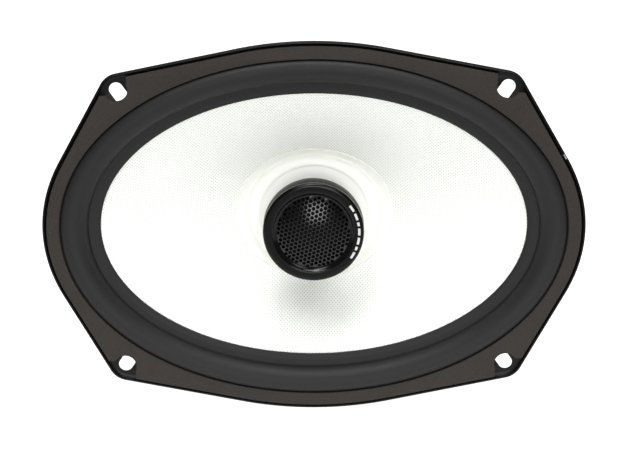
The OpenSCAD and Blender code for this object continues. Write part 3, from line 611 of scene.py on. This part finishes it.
CONE_SHARES = [(k / 36) ** 1.5 for k in range(37)]
CONE_BACK = CONE_T * 1.15
CONE_EDGE = 4.4
cone_front = [
    *[cone_ring(share) for share in CONE_SHARES],
    oval_ring(RIM_A + CONE_EDGE - 0.1, RIM_B + CONE_EDGE - 0.1, -2.56),
    oval_ring(RIM_A + CONE_EDGE, RIM_B + CONE_EDGE, -2.7),
]
cone_back = [moved(ring, CONE_BACK) for ring in reversed(cone_front[:-1])]

# White cloth with a fine plain weave that shows as small dots, more in some places than others
woven = Finish("woven_cone", Specular_IOR_Level=0.35)
weave = weave_height(woven, 0.74, (0, 2))
patch = woven.cloud(30, 1.0)
dots = weave.math("MAXIMUM", 0.0) * (patch * 0.8 + 0.35)
stain = woven.cloud(55, 2.0)
plain = woven.mix(stain, (0.875, 0.89, 0.85, 1), (0.92, 0.93, 0.905, 1))
woven.paint(
    Base_Color=woven.mix(dots, plain, (0.52, 0.545, 0.48, 1)),
    Roughness=patch * 0.2 + 0.45,
    Normal=woven.relief(weave, 0.1, 0.8),
)
show(skin(cone_back + cone_front, 240), "cone_woven", woven, "cone_group", "cone", 50)


# ---- Cone collar ----
# A moulded white collar glued over the neck of the cone. It has a thin lip, a smooth crown with
# one fine step, and a slope down to the hole round the tweeter's post.

COLLAR_X, COLLAR_Y, COLLAR_T = 34.9, 29.02, 0.9
COLLAR_TOP_Z = -19.0
lip_share = (COLLAR_X - NECK_R) / (RIM_A - NECK_R)


def lip_z(share):
    """Height of the collar's lip where it lies on the cone at a share of the cone's width"""
    return cone_ring(share)(0)[2] + 0.1 + COLLAR_T


collar_line = [
    (11.5, 11.5, COLLAR_TOP_Z - 1),
    (11.7, 11.7, COLLAR_TOP_Z - 0.45),
    (12.3, 12.3, COLLAR_TOP_Z - 0.1),
    (13.5, 13.5, COLLAR_TOP_Z),
    (COLLAR_X * 0.47, COLLAR_Y * 0.56, COLLAR_TOP_Z),
    (COLLAR_X * 0.545, COLLAR_Y * 0.65, COLLAR_TOP_Z - 0.2),
    (COLLAR_X * 0.61, COLLAR_Y * 0.71, COLLAR_TOP_Z - 0.45),
    (COLLAR_X * 0.66, COLLAR_Y * 0.753, COLLAR_TOP_Z - 0.74),
    (COLLAR_X * 0.675, COLLAR_Y * 0.765, COLLAR_TOP_Z - 0.76),
    (COLLAR_X * 0.685, COLLAR_Y * 0.773, COLLAR_TOP_Z - 0.62),
    (COLLAR_X * 0.7, COLLAR_Y * 0.785, COLLAR_TOP_Z - 0.54),
    (COLLAR_X * 0.725, COLLAR_Y * 0.803, COLLAR_TOP_Z - 0.64),
    (COLLAR_X * 0.75, COLLAR_Y * 0.82, COLLAR_TOP_Z - 0.9),
    (COLLAR_X * 0.78, COLLAR_Y * 0.841, COLLAR_TOP_Z - 1.25),
    (COLLAR_X * 0.805, COLLAR_Y * 0.859, COLLAR_TOP_Z - 1.7),
    (COLLAR_X * 0.825, COLLAR_Y * 0.874, COLLAR_TOP_Z - 2.3),
    (COLLAR_X * 0.842, COLLAR_Y * 0.886, COLLAR_TOP_Z - 3.1),
    (COLLAR_X * 0.853, COLLAR_Y * 0.895, COLLAR_TOP_Z - 4.2),
    (COLLAR_X * 0.86, COLLAR_Y * 0.9, lip_z(lip_share * 0.72) + 0.5),
    (COLLAR_X * 0.875, COLLAR_Y * 0.912, lip_z(lip_share * 0.72) + 0.2),
    (COLLAR_X * 0.935, COLLAR_Y * 0.955, lip_z(lip_share * 0.86) + 0.1),
    (COLLAR_X - 0.25, COLLAR_Y - 0.25, lip_z(lip_share) - 0.02),
    (COLLAR_X, COLLAR_Y, lip_z(lip_share) - 0.25),
]
# On its steep side the collar is thick across the slope too, so its back stands further in there
STEEP_ROWS = range(13, 20)
STEEP_IN = 0.7
collar_front = [oval_ring(*ring) for ring in collar_line]
collar_back = []
for row, (a, b, z) in enumerate(collar_line):
    inward = STEEP_IN if row in STEEP_ROWS else 0
    collar_back.append(oval_ring(a - inward, b - inward, z - COLLAR_T))
collar_plastic = grained(
    "collar_plastic", (0.85, 0.86, 0.81), (0.89, 0.895, 0.855), 0.4, 1.2, 0.01,
)
show(
    skin(collar_back + collar_front[::-1], 200), "cone_collar_moulded", collar_plastic,
    "cone_group", "cone_collar", 40,
)


# ---- Roll surround ----
# A half roll of moulded black rubber. Its outer lip is held between the flange and the gasket,
# and its land is glued over the cone's edge, so the roll flexes as the cone travels.

RUBBER_T = 0.8
LAND = 5.0
LAND_Z = -3.0
LAND_RISE = 0.75 * LAND / CONE_EDGE
ROLL_H = 4.8
ROLL_STEPS = 28


def roll_ring(share, z):
    """An oval at a share of the way across the roll, from the chassis to the land"""
    return oval_ring(
        ROLL_A + (RIM_A + LAND - ROLL_A) * share, ROLL_B + (RIM_B + LAND - ROLL_B) * share, z,
    )


def roll_line(thin):
    """Half a roll between its two feet, drawn in by thin on its back"""
    rings = []
    half = 0.48 - thin / (ROLL_B - RIM_B - LAND)
    for k in range(ROLL_STEPS + 1):
        share = k / ROLL_STEPS
        foot = SHEET_T + (LAND_Z + LAND_RISE - SHEET_T) * share + RUBBER_T
        swell = math.sin(math.pi * share)
        rings.append(roll_ring(0.5 - half * math.cos(math.pi * share), foot + ROLL_H * swell - thin))
    return rings


LAND_LINE = ((0.12, 0), (0.3, 0), (0.42, 0.12), (0.55, 0.12), (0.67, 0), (0.93, 0), (1, -0.25))


def land_rings(drop):
    """The land, with a fine moulded step halfway and a rounded inner edge on its front"""
    rings = []
    for share, lift in LAND_LINE:
        left = 1 - share
        front = LAND_Z + LAND_RISE * left + RUBBER_T
        height = front - drop if drop else front + lift
        rings.append(oval_ring(RIM_A + LAND * left, RIM_B + LAND * left, height))
    return rings


LIP = 1.8
roll_front = [
    oval_ring(ROLL_A + LIP, ROLL_B + LIP, SHEET_T + RUBBER_T - 0.2),
    oval_ring(ROLL_A + LIP - 0.2, ROLL_B + LIP - 0.2, SHEET_T + RUBBER_T),
    *roll_line(0), *land_rings(0),
]
lip_foot = oval_ring(ROLL_A + LIP, ROLL_B + LIP, SHEET_T + SEAM)
roll_back = [lip_foot, *roll_line(RUBBER_T), *land_rings(RUBBER_T)]
rubber = grained(
    "roll_rubber", (0.007, 0.007, 0.007), (0.012, 0.012, 0.0118), 0.54, 0.35, 0.014, 0.16,
    Specular_IOR_Level=0.26,
)
surround = piece("surround_roll", skin(roll_front + roll_back[::-1], 240), rubber, 45)


def roll_share(point):
    """How far a point is across the roll: 0 at the chassis, 1 at the land"""
    way = math.atan2(point.z / ROLL_B, point.x / ROLL_A)
    outer = math.hypot(ROLL_A * math.cos(way), ROLL_B * math.sin(way)) / 1000
    inner = math.hypot((RIM_A + LAND) * math.cos(way), (RIM_B + LAND) * math.sin(way)) / 1000
    return easing((outer - math.hypot(point.x, point.z)) / (outer - inner))


flex(surround, roll_share)
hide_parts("surround")


# ---- Front gasket ----
# A ring of dark grey foam glued on the flange over the roll's lip. Round bites clear the heads
# of the four panel screws.

GASKET_TOP = 4.0
GASKET_IN = 2.0
NOTCH_R = 4.9
NOTCH_SIDE = (NOTCH_R * 0.9, NOTCH_R * 0.5)


def bite_line(sx, sy):
    """A screw bite's edge, from its upright side round the screw to its level side"""
    first = math.pi - math.acos(NOTCH_SIDE[0] / NOTCH_R)
    last = 2 * math.pi - math.asin(NOTCH_SIDE[1] / NOTCH_R)
    angles = [first + (last - first) * k / 24 for k in range(25)]
    end = Vector((sx * SLOT_END.x, sy * SLOT_END.y))
    return [end + Vector((sx * math.cos(a), sy * math.sin(a))) * NOTCH_R for a in angles]


def notched(line):
    """A closed line, run anticlockwise, with the four screw bites taken out"""
    def bitten(point):
        from_end = Vector((abs(point[0]) - SLOT_END.x, abs(point[1]) - SLOT_END.y))
        in_sides = from_end.x > -NOTCH_SIDE[0] and from_end.y > -NOTCH_SIDE[1]
        return in_sides or from_end.length < NOTCH_R

    fine = []
    for first, second in zip(line, line[1:] + line[:1]):
        parts = math.ceil(math.dist(first, second) / 0.8)
        fine += [Vector(first).lerp(Vector(second), k / parts) for k in range(parts)]
    made = []
    for before, point in zip(fine[-1:] + fine[:-1], fine):
        if not bitten(point):
            made.append(point)
        elif not bitten(before):
            sx, sy = math.copysign(1, point[0]), math.copysign(1, point[1])
            bite = bite_line(sx, sy)
            made += bite if sx * sy < 0 else bite[::-1]
    return made


def foam_ring(inset, lip, low, high, edge):
    """A layer of the gasket: inset from the flange's edge, and lip wider than the roll inside"""
    rim = notched(round_line(edge_ring(inset, 0)))
    return plate([rim, round_line(oval_ring(ROLL_A + lip, ROLL_B + lip, 0))], low, high, edge)


foam = Finish("gasket_foam", Specular_IOR_Level=0.25)
cells = foam.node("ShaderNodeTexVoronoi", {"feature": "F1"}, {"Vector": foam.place(), "Scale": 1900.0})
worn = foam.cloud(12)
foam.paint(
    Base_Color=foam.mix(worn * 0.5 + cells * 0.5, (0.016, 0.0145, 0.0125, 1), (0.037, 0.032, 0.028, 1)),
    Roughness=worn * 0.15 + 0.75,
    Normal=foam.relief(cells, 0.12, 0.7),
)
# The rebate below clears the roll's lip
REBATE_Z = 2.1
show(
    foam_ring(GASKET_IN, 0, REBATE_Z, GASKET_TOP, 0.35), "gasket_top", foam,
    "chassis", "front_gasket",
)
show(
    foam_ring(GASKET_IN + 0.1, LIP + 0.15, SHEET_T + SEAM, REBATE_Z, 0.05), "gasket_rebate", foam,
    "chassis",
)


# ---- Tweeter post ----
# A black post screwed through the pole carries the tweeter clear of the cone. A washer and a nut
# in the yoke's recess hold it, and the tweeter's two leads come up through its bore.

black_plastic = grained(
    "black_plastic", (0.006, 0.006, 0.0055), (0.01, 0.01, 0.0095), 0.42, 0.35, 0.02,
    Specular_IOR_Level=0.2,
)
from_cad("tweeter_post", black_plastic, "chassis", 0.2)
from_cad("post_washer", zinc, "chassis", 0.15)
from_cad("post_nut", zinc, "chassis", 0.3)


# ---- Tweeter housing ----
# A moulded black cup with a straight side and a tapered back that seats on the post. The bezel
# snaps over its rim: a rounded front ring, then a slope down to the mesh. The ring carries a
# generic broken arc of white print.

TWEETER_R = 21.8
TWEETER_FRONT = 8.4
WALL_T = 1.5
BORE_R = 4.02
FLOOR_Z, FLOOR_T = -3.4, 2.5
SHELF_Z = 2.7
CUP_POCKET_R = 14.35
BEZEL_FOOT = 6.2
SLOPE_R = 17.8
GRILLE_R = 16.6
GRILLE_Z = 6.7
satin = grained(
    "satin_black", (0.0015, 0.0014, 0.0012), (0.0025, 0.0024, 0.0022), 0.16, 0.4, 0.006, 0.06,
    Specular_IOR_Level=0.18,
)
housing_line = [
    (BORE_R, FLOOR_Z - FLOOR_T), (12.0, FLOOR_Z - FLOOR_T), (12.4, FLOOR_Z - 2.4), (16.4, FLOOR_Z - 0.65),
    (TWEETER_R - 1.2, -2.2), (TWEETER_R - 0.4, -1.75), (TWEETER_R - 0.1, -1.4), (TWEETER_R, -1.0),
    (TWEETER_R, 5.3), (TWEETER_R - 0.15, 5.6), (TWEETER_R - 0.4, 5.72), (TWEETER_R - 0.4, 6.1),
    (TWEETER_R - WALL_T, 6.1), (TWEETER_R - WALL_T, SHELF_Z), (CUP_POCKET_R + 0.95, SHELF_Z),
    (CUP_POCKET_R, SHELF_Z - 0.9), (CUP_POCKET_R, FLOOR_Z), (BORE_R, FLOOR_Z),
]
show(
    turned(housing_line, 160), "tweeter_housing_moulded", black_plastic,
    "chassis", "tweeter_housing", 50,
)

# The bezel, from its outer foot over the flat ring and down the slope to the mesh
bezel_line = [
    (TWEETER_R - 0.05, BEZEL_FOOT), (TWEETER_R, BEZEL_FOOT + 0.1), (TWEETER_R, TWEETER_FRONT - 1.1),
    (TWEETER_R - 0.08, TWEETER_FRONT - 0.75), (TWEETER_R - 0.3, TWEETER_FRONT - 0.45),
    (TWEETER_R - 0.65, TWEETER_FRONT - 0.2), (TWEETER_R - 1.1, TWEETER_FRONT - 0.04),
    (TWEETER_R - 1.5, TWEETER_FRONT), (SLOPE_R + 0.3, TWEETER_FRONT), (SLOPE_R, TWEETER_FRONT - 0.08),
    (SLOPE_R - 0.3, TWEETER_FRONT - 0.3), (SLOPE_R - 0.6, TWEETER_FRONT - 0.6),
    (SLOPE_R - 1, TWEETER_FRONT - 0.94), (SLOPE_R - 1.4, TWEETER_FRONT - 1.2),
    (SLOPE_R - 1.7, TWEETER_FRONT - 1.34), (SLOPE_R - 1.9, TWEETER_FRONT - 1.4),
    (SLOPE_R - 1.96, TWEETER_FRONT - 1.47), (SLOPE_R - 1.9, TWEETER_FRONT - 1.56),
    (GRILLE_R + 0.1, GRILLE_Z - 0.1), (GRILLE_R + 0.1, BEZEL_FOOT),
]
show(
    turned(bezel_line, 160), "tweeter_bezel_ring", satin,
    "chassis", "tweeter_bezel", 60,
)

print_ink = grained("print_ink", (0.5, 0.5, 0.48), (0.62, 0.62, 0.6), 0.5, 0.3, 0.01)
BAR_DEGREES = (9, 5, 9, 9, 5, 9, 9)
BAR_GAP = 3.0
BAR_IN_R, BAR_OUT_R = 19.25, 20.25
INK_T = 0.03
marks = bmesh.new()
start = -36.0
for width in BAR_DEGREES:
    angles = [math.radians(start + width * k / 6) for k in range(7)]
    inner, outer = (
        [(r * math.cos(a), r * math.sin(a), TWEETER_FRONT + INK_T) for a in angles]
        for r in (BAR_IN_R, BAR_OUT_R)
    )
    marks.faces.new([marks.verts.new(place) for place in inner + outer[::-1]])
    start += width + BAR_GAP
sunk = bmesh.ops.extrude_face_region(marks, geom=marks.faces[:])["geom"]
sunk_verts = [made for made in sunk if isinstance(made, bmesh.types.BMVert)]
bmesh.ops.translate(marks, verts=sunk_verts, vec=(0, 0, -0.1))
show(marks, "bezel_print", print_ink, "chassis")


# ---- Tweeter grille ----
# A domed disc of punched steel mesh, painted dark. Its round holes stand in a close hexagonal
# pattern, and its plain edge sits in the bezel's slope.

GRILLE_H = 3.2
HOLE_PITCH = 1.93
HOLE_R = 0.83
PLAIN_EDGE = 0.9
GRILLE_T = 0.4
CAP_R = (GRILLE_R ** 2 + GRILLE_H ** 2) / (2 * GRILLE_H)
MESH_TURN = math.radians(20)


def on_grille(place):
    """A flat point laid on the dome, and held inside its edge"""
    held = place * min(1, (GRILLE_R - SEAM) / max(place.length, 1))
    return held.x, held.y, GRILLE_Z + GRILLE_H - CAP_R + math.sqrt(CAP_R ** 2 - held.length_squared)


mesh_bm = bmesh.new()
reach = int(GRILLE_R / HOLE_PITCH) + 3
for row in range(-reach, reach + 1):
    for column in range(-reach, reach + 1):
        centre = Vector((HOLE_PITCH * (column + row / 2), HOLE_PITCH * row * math.sqrt(3) / 2))
        centre.rotate(Matrix.Rotation(MESH_TURN, 2))
        if centre.length > GRILLE_R + HOLE_PITCH * 0.6:
            continue
        cell, hole = [], []
        for k in range(12):
            angle = MESH_TURN + math.radians(30 * k)
            way = Vector((math.cos(angle), math.sin(angle)))
            edge = HOLE_PITCH / 2 / (1 if k % 2 == 0 else math.cos(math.pi / 6))
            cell.append(mesh_bm.verts.new(on_grille(centre + way * edge)))
            hole.append(mesh_bm.verts.new(on_grille(centre + way * HOLE_R)))
        if centre.length > GRILLE_R - PLAIN_EDGE:
            mesh_bm.faces.new(cell)
            for vert in hole:
                mesh_bm.verts.remove(vert)
            continue
        for k in range(12):
            mesh_bm.faces.new((cell[k - 1], cell[k], hole[k], hole[k - 1]))
bmesh.ops.remove_doubles(mesh_bm, verts=mesh_bm.verts, dist=0.01)
bmesh.ops.dissolve_degenerate(mesh_bm, edges=mesh_bm.edges, dist=0.005)
bmesh.ops.recalc_face_normals(mesh_bm, faces=mesh_bm.faces)
bmesh.ops.solidify(mesh_bm, geom=mesh_bm.faces[:], thickness=GRILLE_T)
mesh_paint = grained(
    "grille_paint", (0.0015, 0.0013, 0.0013), (0.003, 0.0026, 0.0026), 0.2, 0.4, 0.006, 0.08,
    Specular_IOR_Level=0.42,
)
show(mesh_bm, "tweeter_grille_mesh", mesh_paint, "chassis", "tweeter_grille", 60)


# ---- Tweeter motor and dome ----
# In the housing sit a steel cup, a small rare-earth magnet and its pole disc, with a felt damper
# on top. The soft dome, with its fine roll and coil, is held on the clamp ring.

bright = grained("bright_nickel", (0.6, 0.6, 0.6), (0.74, 0.74, 0.73), 0.22, 0.5, 0.006, Metallic=1.0)
felt = grained("felt", (0.06, 0.057, 0.052), (0.13, 0.125, 0.115), 0.92, 0.18, 0.12)
dome_cloth = Finish("dome_cloth", Specular_IOR_Level=0.05)
silk = weave_height(dome_cloth, 0.35, (0, 2))
dome_cloth.paint(
    Base_Color=dome_cloth.mix(silk * 0.5 + 0.5, (0.004, 0.004, 0.005, 1), (0.009, 0.009, 0.011, 1)),
    Roughness=dome_cloth.cloud(3) * 0.2 + 0.45,
    Normal=dome_cloth.relief(silk, 0.04),
)
from_cad("tweeter_cup", zinc, "chassis", 0.25)
from_cad("tweeter_magnet", bright, "chassis", 0.3)
from_cad("tweeter_pole_disc", zinc, "chassis", 0.2)
from_cad("tweeter_felt", felt, "chassis", 0.2)
from_cad("tweeter_clamp_ring", black_plastic, "chassis", 0.2)
from_cad("tweeter_coil", copper, "dome_group", 0.05)

DOME_R, DOME_H, DOME_Z = 12.35, 3.1, 4.1
DOME_T = 0.3
DOME_LIP_R = 12.7
DOME_CAP_R = (DOME_R ** 2 + DOME_H ** 2) / (2 * DOME_H)


def dome_front(radius):
    return DOME_Z + DOME_H - DOME_CAP_R + math.sqrt(DOME_CAP_R ** 2 - radius ** 2)


dome_radii = [DOME_R * k / 24 for k in range(1, 25)]
dome_line = [(DOME_LIP_R, DOME_Z), (DOME_LIP_R, DOME_Z + 0.28), (DOME_R + 0.1, DOME_Z + 0.28)]
dome_line += [(r, dome_front(r)) for r in reversed(dome_radii)]
dome_line += [(r, dome_front(r) - DOME_T) for r in dome_radii[:-1]]
dome_line.append((DOME_R - 0.15, DOME_Z - 0.05))
show(
    round_bar(dome_line, 96), "tweeter_dome_cloth", dome_cloth,
    "dome_group", "tweeter_dome",
)

# The part of the fine roll that bends, in metres as the CAD part is
FINE_ROLL_R, FINE_ROLL_W = 0.0142, 0.0015
roll_bm = bmesh.new()
roll_bm.from_mesh(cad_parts["tweeter_suspension"].data)
bmesh.ops.remove_doubles(roll_bm, verts=roll_bm.verts, dist=1e-6)
fine_roll = piece("tweeter_roll", roll_bm, dome_cloth, 40, Matrix.Identity(4))


def fine_roll_share(point):
    """How much of the dome's travel a point takes: all at the dome, none at the clamp ring"""
    return easing((FINE_ROLL_R - math.hypot(point.x, point.z)) / FINE_ROLL_W)


flex(fine_roll, fine_roll_share)
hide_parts("tweeter_suspension")


# ---- Terminal block ----
# A moulded block riveted on the outside of the bottom arm holds two tinned brass blades, one wide
# and one narrow. The tweeter's film capacitor lies across it in a moulded strap.

def under_bowl(share):
    """How far below the axis and how far back the bottom arm is, its rib left out"""
    bulge = math.sin(math.pi * share)
    below = ROLL_B - BAND_IN + (ARM_FOOT - ROLL_B + BAND_IN) * share + 1.5 * bulge
    return Vector((below, BAND_Z + (ARM_FOOT_Z - BAND_Z) * share))


block_top, block_foot = under_bowl(0.33), under_bowl(0.67)
arm_way = block_top - block_foot
block_mid = (block_top + block_foot) / 2
ARM_LEAN = math.atan2(arm_way.y, arm_way.x)
BLOCK_AT = (0, -block_mid.x, block_mid.y)
ON_BLOCK = Matrix.Translation(BLOCK_AT) @ Matrix.Rotation(math.pi - ARM_LEAN, 4, "X")

brass = grained("tinned_brass", (0.55, 0.46, 0.25), (0.7, 0.62, 0.4), 0.26, 0.6, 0.008, 0.2, Metallic=1.0)
from_cad("terminal_block", black_plastic, "chassis", 0.35)
from_cad("wide_terminal", brass, "chassis", 0.12)
from_cad("narrow_terminal", brass, "chassis", 0.12)
from_cad("terminal_rivets", rivet_steel, "chassis", 0.2)

sleeve = grained("capacitor_sleeve", (0.016, 0.03, 0.07), (0.03, 0.05, 0.11), 0.35, 0.5, 0.02)
# Half of the can's line, from its recessed end over the rolled edge to its waist
CAN_HALF = 10.0
can_end = [(0.5, 0.25), (3.3, 0.25), (3.7, 0.05), (4.2, 0), (4.45, 0.25), (4.5, 0.7), (4.44, 1.3)]
can = round_bar([
    *[(r, depth - CAN_HALF) for r, depth in can_end], (4.46, 0),
    *[(r, CAN_HALF - depth) for r, depth in reversed(can_end)],
], 64)
across = Matrix.Translation((0, 11.5, 4.9)) @ Matrix.Rotation(math.pi / 2, 4, "Y")
bmesh.ops.transform(can, matrix=ON_BLOCK @ across, verts=can.verts)
show(can, "capacitor_can", sleeve, "chassis", "capacitor")
from_cad("capacitor_legs", rivet_steel, "chassis", 0)
from_cad("capacitor_strap", black_plastic, "chassis", 0.15)


# ---- Leads ----
# Two jacketed leads run from the block down the channel in the boot, in across its back and up
# the post to the tweeter. Two copper braids hang in a loose bow from the blades' tails to the
# eyelets on the back of the cone, and flex as it travels.

def swept(path, diameter, sides=10):
    """A wire of a diameter along a path"""
    curve = bpy.data.curves.new("wire", "CURVE")
    curve.dimensions = "3D"
    curve.bevel_depth = diameter / 2
    curve.bevel_resolution = sides // 2 - 2
    curve.use_fill_caps = True
    spline = curve.splines.new("POLY")
    spline.points.add(len(path) - 1)
    for point, place in zip(spline.points, path):
        point.co = (*place, 1)
    drawn = bpy.data.objects.new("wire", curve)
    mesh = bpy.data.meshes.new_from_object(drawn)
    bpy.data.objects.remove(drawn)
    return mesh


def wires(meshes):
    bm = bmesh.new()
    for mesh in meshes:
        bm.from_mesh(mesh)
        bpy.data.meshes.remove(mesh)
    return bm


def bent(path, radius, steps=8):
    """A path with its corners turned round a radius"""
    made = [path[0]]
    for before, corner, after in zip(path, path[1:], path[2:]):
        back, on = (before - corner).normalized(), (after - corner).normalized()
        half = back.angle(on) / 2
        middle = corner + (back + on).normalized() * radius / math.sin(half)
        reach = radius / math.tan(half)
        first, last = corner + back * reach - middle, corner + on * reach - middle
        made += [middle + first.slerp(last, k / steps) for k in range(steps + 1)]
    return made + [path[-1]]


LEAD_D = 1.5
BOOT_R = 47.1
BOOT_BACK_Z = -81.85
lead_side_y = -BOOT_R + 1.7 - LEAD_D / 2 - 0.1
lead_back_z = BOOT_BACK_Z + 1.7 - LEAD_D / 2 - 0.1
leads = (
    (-1, "tweeter_lead_live", (0.18, 0.012, 0.01), (0.26, 0.02, 0.016), "red_jacket"),
    (1, "tweeter_lead_return", (0.012, 0.012, 0.012), (0.022, 0.022, 0.022), "black_jacket"),
)
for side, node, dark, light, slot in leads:
    x = side * (LEAD_D / 2 + 0.1)
    route = [
        ON_BLOCK @ Vector((x, -6.2, 3.3)), ON_BLOCK @ Vector((x, -9.7, 3.3)),
        Vector((x, lead_side_y, PLATE_BACK_Z - 2)), Vector((x, lead_side_y, lead_back_z)),
        Vector((x, 0, lead_back_z)), Vector((x, 0, 2.6)),
    ]
    jacket = grained(slot, dark, light, 0.4, 0.5, 0.01)
    show(
        wires([swept(bent(route, 2 * LEAD_D), LEAD_D)]), f"{node}_jacket", jacket,
        "chassis", node, 60,
    )

BRAID_D = 1.3
STRANDS = 5
LAY = 0.75
BLADE_X = 5.2


def loose(path, steps=14):
    """A loose curve through the points of a path"""
    made = []
    for k in range(len(path) - 1):
        a, b, c, d = path[max(k - 1, 0)], path[k], path[k + 1], path[min(k + 2, len(path) - 1)]
        for step in range(steps):
            u = step / steps
            made.append(0.5 * (2 * b + (c - a) * u + (2 * a - 5 * b + 4 * c - d) * u ** 2
                               + (3 * b - a - 3 * c + d) * u ** 3))
    return made + [path[-1]]


braid_copper = grained("braid_copper", (0.42, 0.17, 0.07), (0.66, 0.32, 0.15), 0.4, 0.2, 0.02, Metallic=0.9)
ANCHOR_X = 9.0
anchor = cone_ring(0.2)(0)
anchor_y = -cone_ring(0.2)(math.pi / 2)[1] * math.sqrt(1 - (ANCHOR_X / anchor[0]) ** 2)
anchor_z = anchor[2] - CONE_BACK - 3
for side, node in ((-1, "braid_live"), (1, "braid_return")):
    tail = ON_BLOCK @ Vector((side * BLADE_X, 0.4, -7.35))
    end = Vector((side * ANCHOR_X, anchor_y, anchor_z - 0.3))
    middle = loose([
        tail, Vector((side * 7, tail.y + 4, tail.z - 1.5)),
        Vector((side * 8, (tail.y + end.y) / 2 - 2, min(tail.z, end.z) - 3.5)),
        Vector((side * ANCHOR_X, end.y - 1.5, end.z - 3)), end,
    ])
    strands = []
    for strand in range(STRANDS):
        line = []
        for k, point in enumerate(middle):
            heading = (middle[min(k + 1, len(middle) - 1)] - middle[max(k - 1, 0)]).normalized()
            out = heading.cross(Vector((1, 0, 0))).normalized()
            turn = Quaternion(heading, 2 * math.pi * strand / STRANDS + LAY * k)
            line.append(point + turn @ out * BRAID_D * 0.3)
        strands.append(swept(line, BRAID_D * 0.4, 6))
    braid = piece(f"{node}_strands", wires(strands), braid_copper, 60)
    flex(
        braid,
        lambda point, low=tail.y / 1000, high=end.y / 1000: easing((point.z - low) / (high - low)),
    )
    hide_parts(node)
from_cad("braid_anchors", black_plastic, "cone_group", 0.15)


# ---- Studio ----
# The speaker stands on its edge on a pale floor that runs out of sight. The floor also glows under
# and behind the speaker, a painted light that washes out the speaker's shadow there, and the glow
# fades to a faint one in front. Broad soft lights stand above and to both sides, and the camera
# looks a little down at its front.

floor_bm = bmesh.new()
bmesh.ops.create_grid(floor_bm, x_segments=24, y_segments=24, size=6)
glowing_paper = Finish("pale_glowing_paper", Specular_IOR_Level=0.0, Emission_Strength=1.0)
speck = glowing_paper.cloud(60)
# Painted light: the floor's glow is full under and behind the speaker, which hides the speaker's shadow
# there, and fades to a faint glow in front of it
glow_behind_speaker = glowing_paper.along(1).math("MULTIPLY_ADD", 4.0, 1.25).math("MINIMUM", 1.0).math("MAXIMUM", 0.05)
glowing_paper.paint(
    Base_Color=glowing_paper.mix(speck, (0.5, 0.5, 0.5, 1), (0.54, 0.54, 0.54, 1)),
    Emission_Color=glowing_paper.mix(glow_behind_speaker, (0, 0, 0, 1), (1, 1, 1, 1)),
    Roughness=speck * 0.1 + 0.8,
    Normal=glowing_paper.relief(speck, 0.02),
)
floor = piece("floor", floor_bm, glowing_paper, 40, Matrix.Translation((0, 0, -FLANGE_H / 2000)))


def soft_light(name, place, size, watts):
    """A square area light turned to the middle of the speaker"""
    data = bpy.data.lights.new(name, "AREA")
    data.size = size
    data.energy = watts
    made = bpy.data.objects.new(name, data)
    made.location = place
    made.rotation_euler = (-Vector(place)).to_track_quat("-Z", "Y").to_euler()
    bpy.context.scene.collection.objects.link(made)


soft_light("key", (-0.3, -0.8, 1.1), 0.45, 5.2)
soft_light("fill", (0.5, -0.9, 0.9), 0.45, 3.6)
soft_light("front", (0.1, -2.2, 0.32), 0.8, 16)
soft_light("top", (0.05, -0.36, 1.25), 0.55, 9.6)
soft_light("glint", (-0.12, -0.55, 1.15), 0.22, 2.0)

world = bpy.data.worlds.new("studio")
world.use_nodes = True
world.node_tree.nodes["Background"].inputs["Color"].default_value = (1, 1, 1, 1)
world.node_tree.nodes["Background"].inputs["Strength"].default_value = 0.18
bpy.context.scene.world = world
bpy.context.scene.view_settings.view_transform = "Standard"

LOOK_DOWN = math.radians(16.45)
FAR = 1.0146
ASIDE = 0.0158
lens = bpy.data.cameras.new("camera")
lens.lens = 134.3
lens.sensor_width = 36
lens.shift_x, lens.shift_y = 0.0006, 0.0027
camera = bpy.data.objects.new("camera", lens)
camera.location = (
    FAR * math.cos(LOOK_DOWN) * math.sin(ASIDE),
    -FAR * math.cos(LOOK_DOWN) * math.cos(ASIDE),
    FAR * math.sin(LOOK_DOWN),
)
aim = (-camera.location).to_track_quat("-Z", "Y") @ Quaternion((0, 0, 1), -0.0118)
camera.rotation_euler = aim.to_euler()
bpy.context.scene.collection.objects.link(camera)
bpy.context.scene.camera = camera
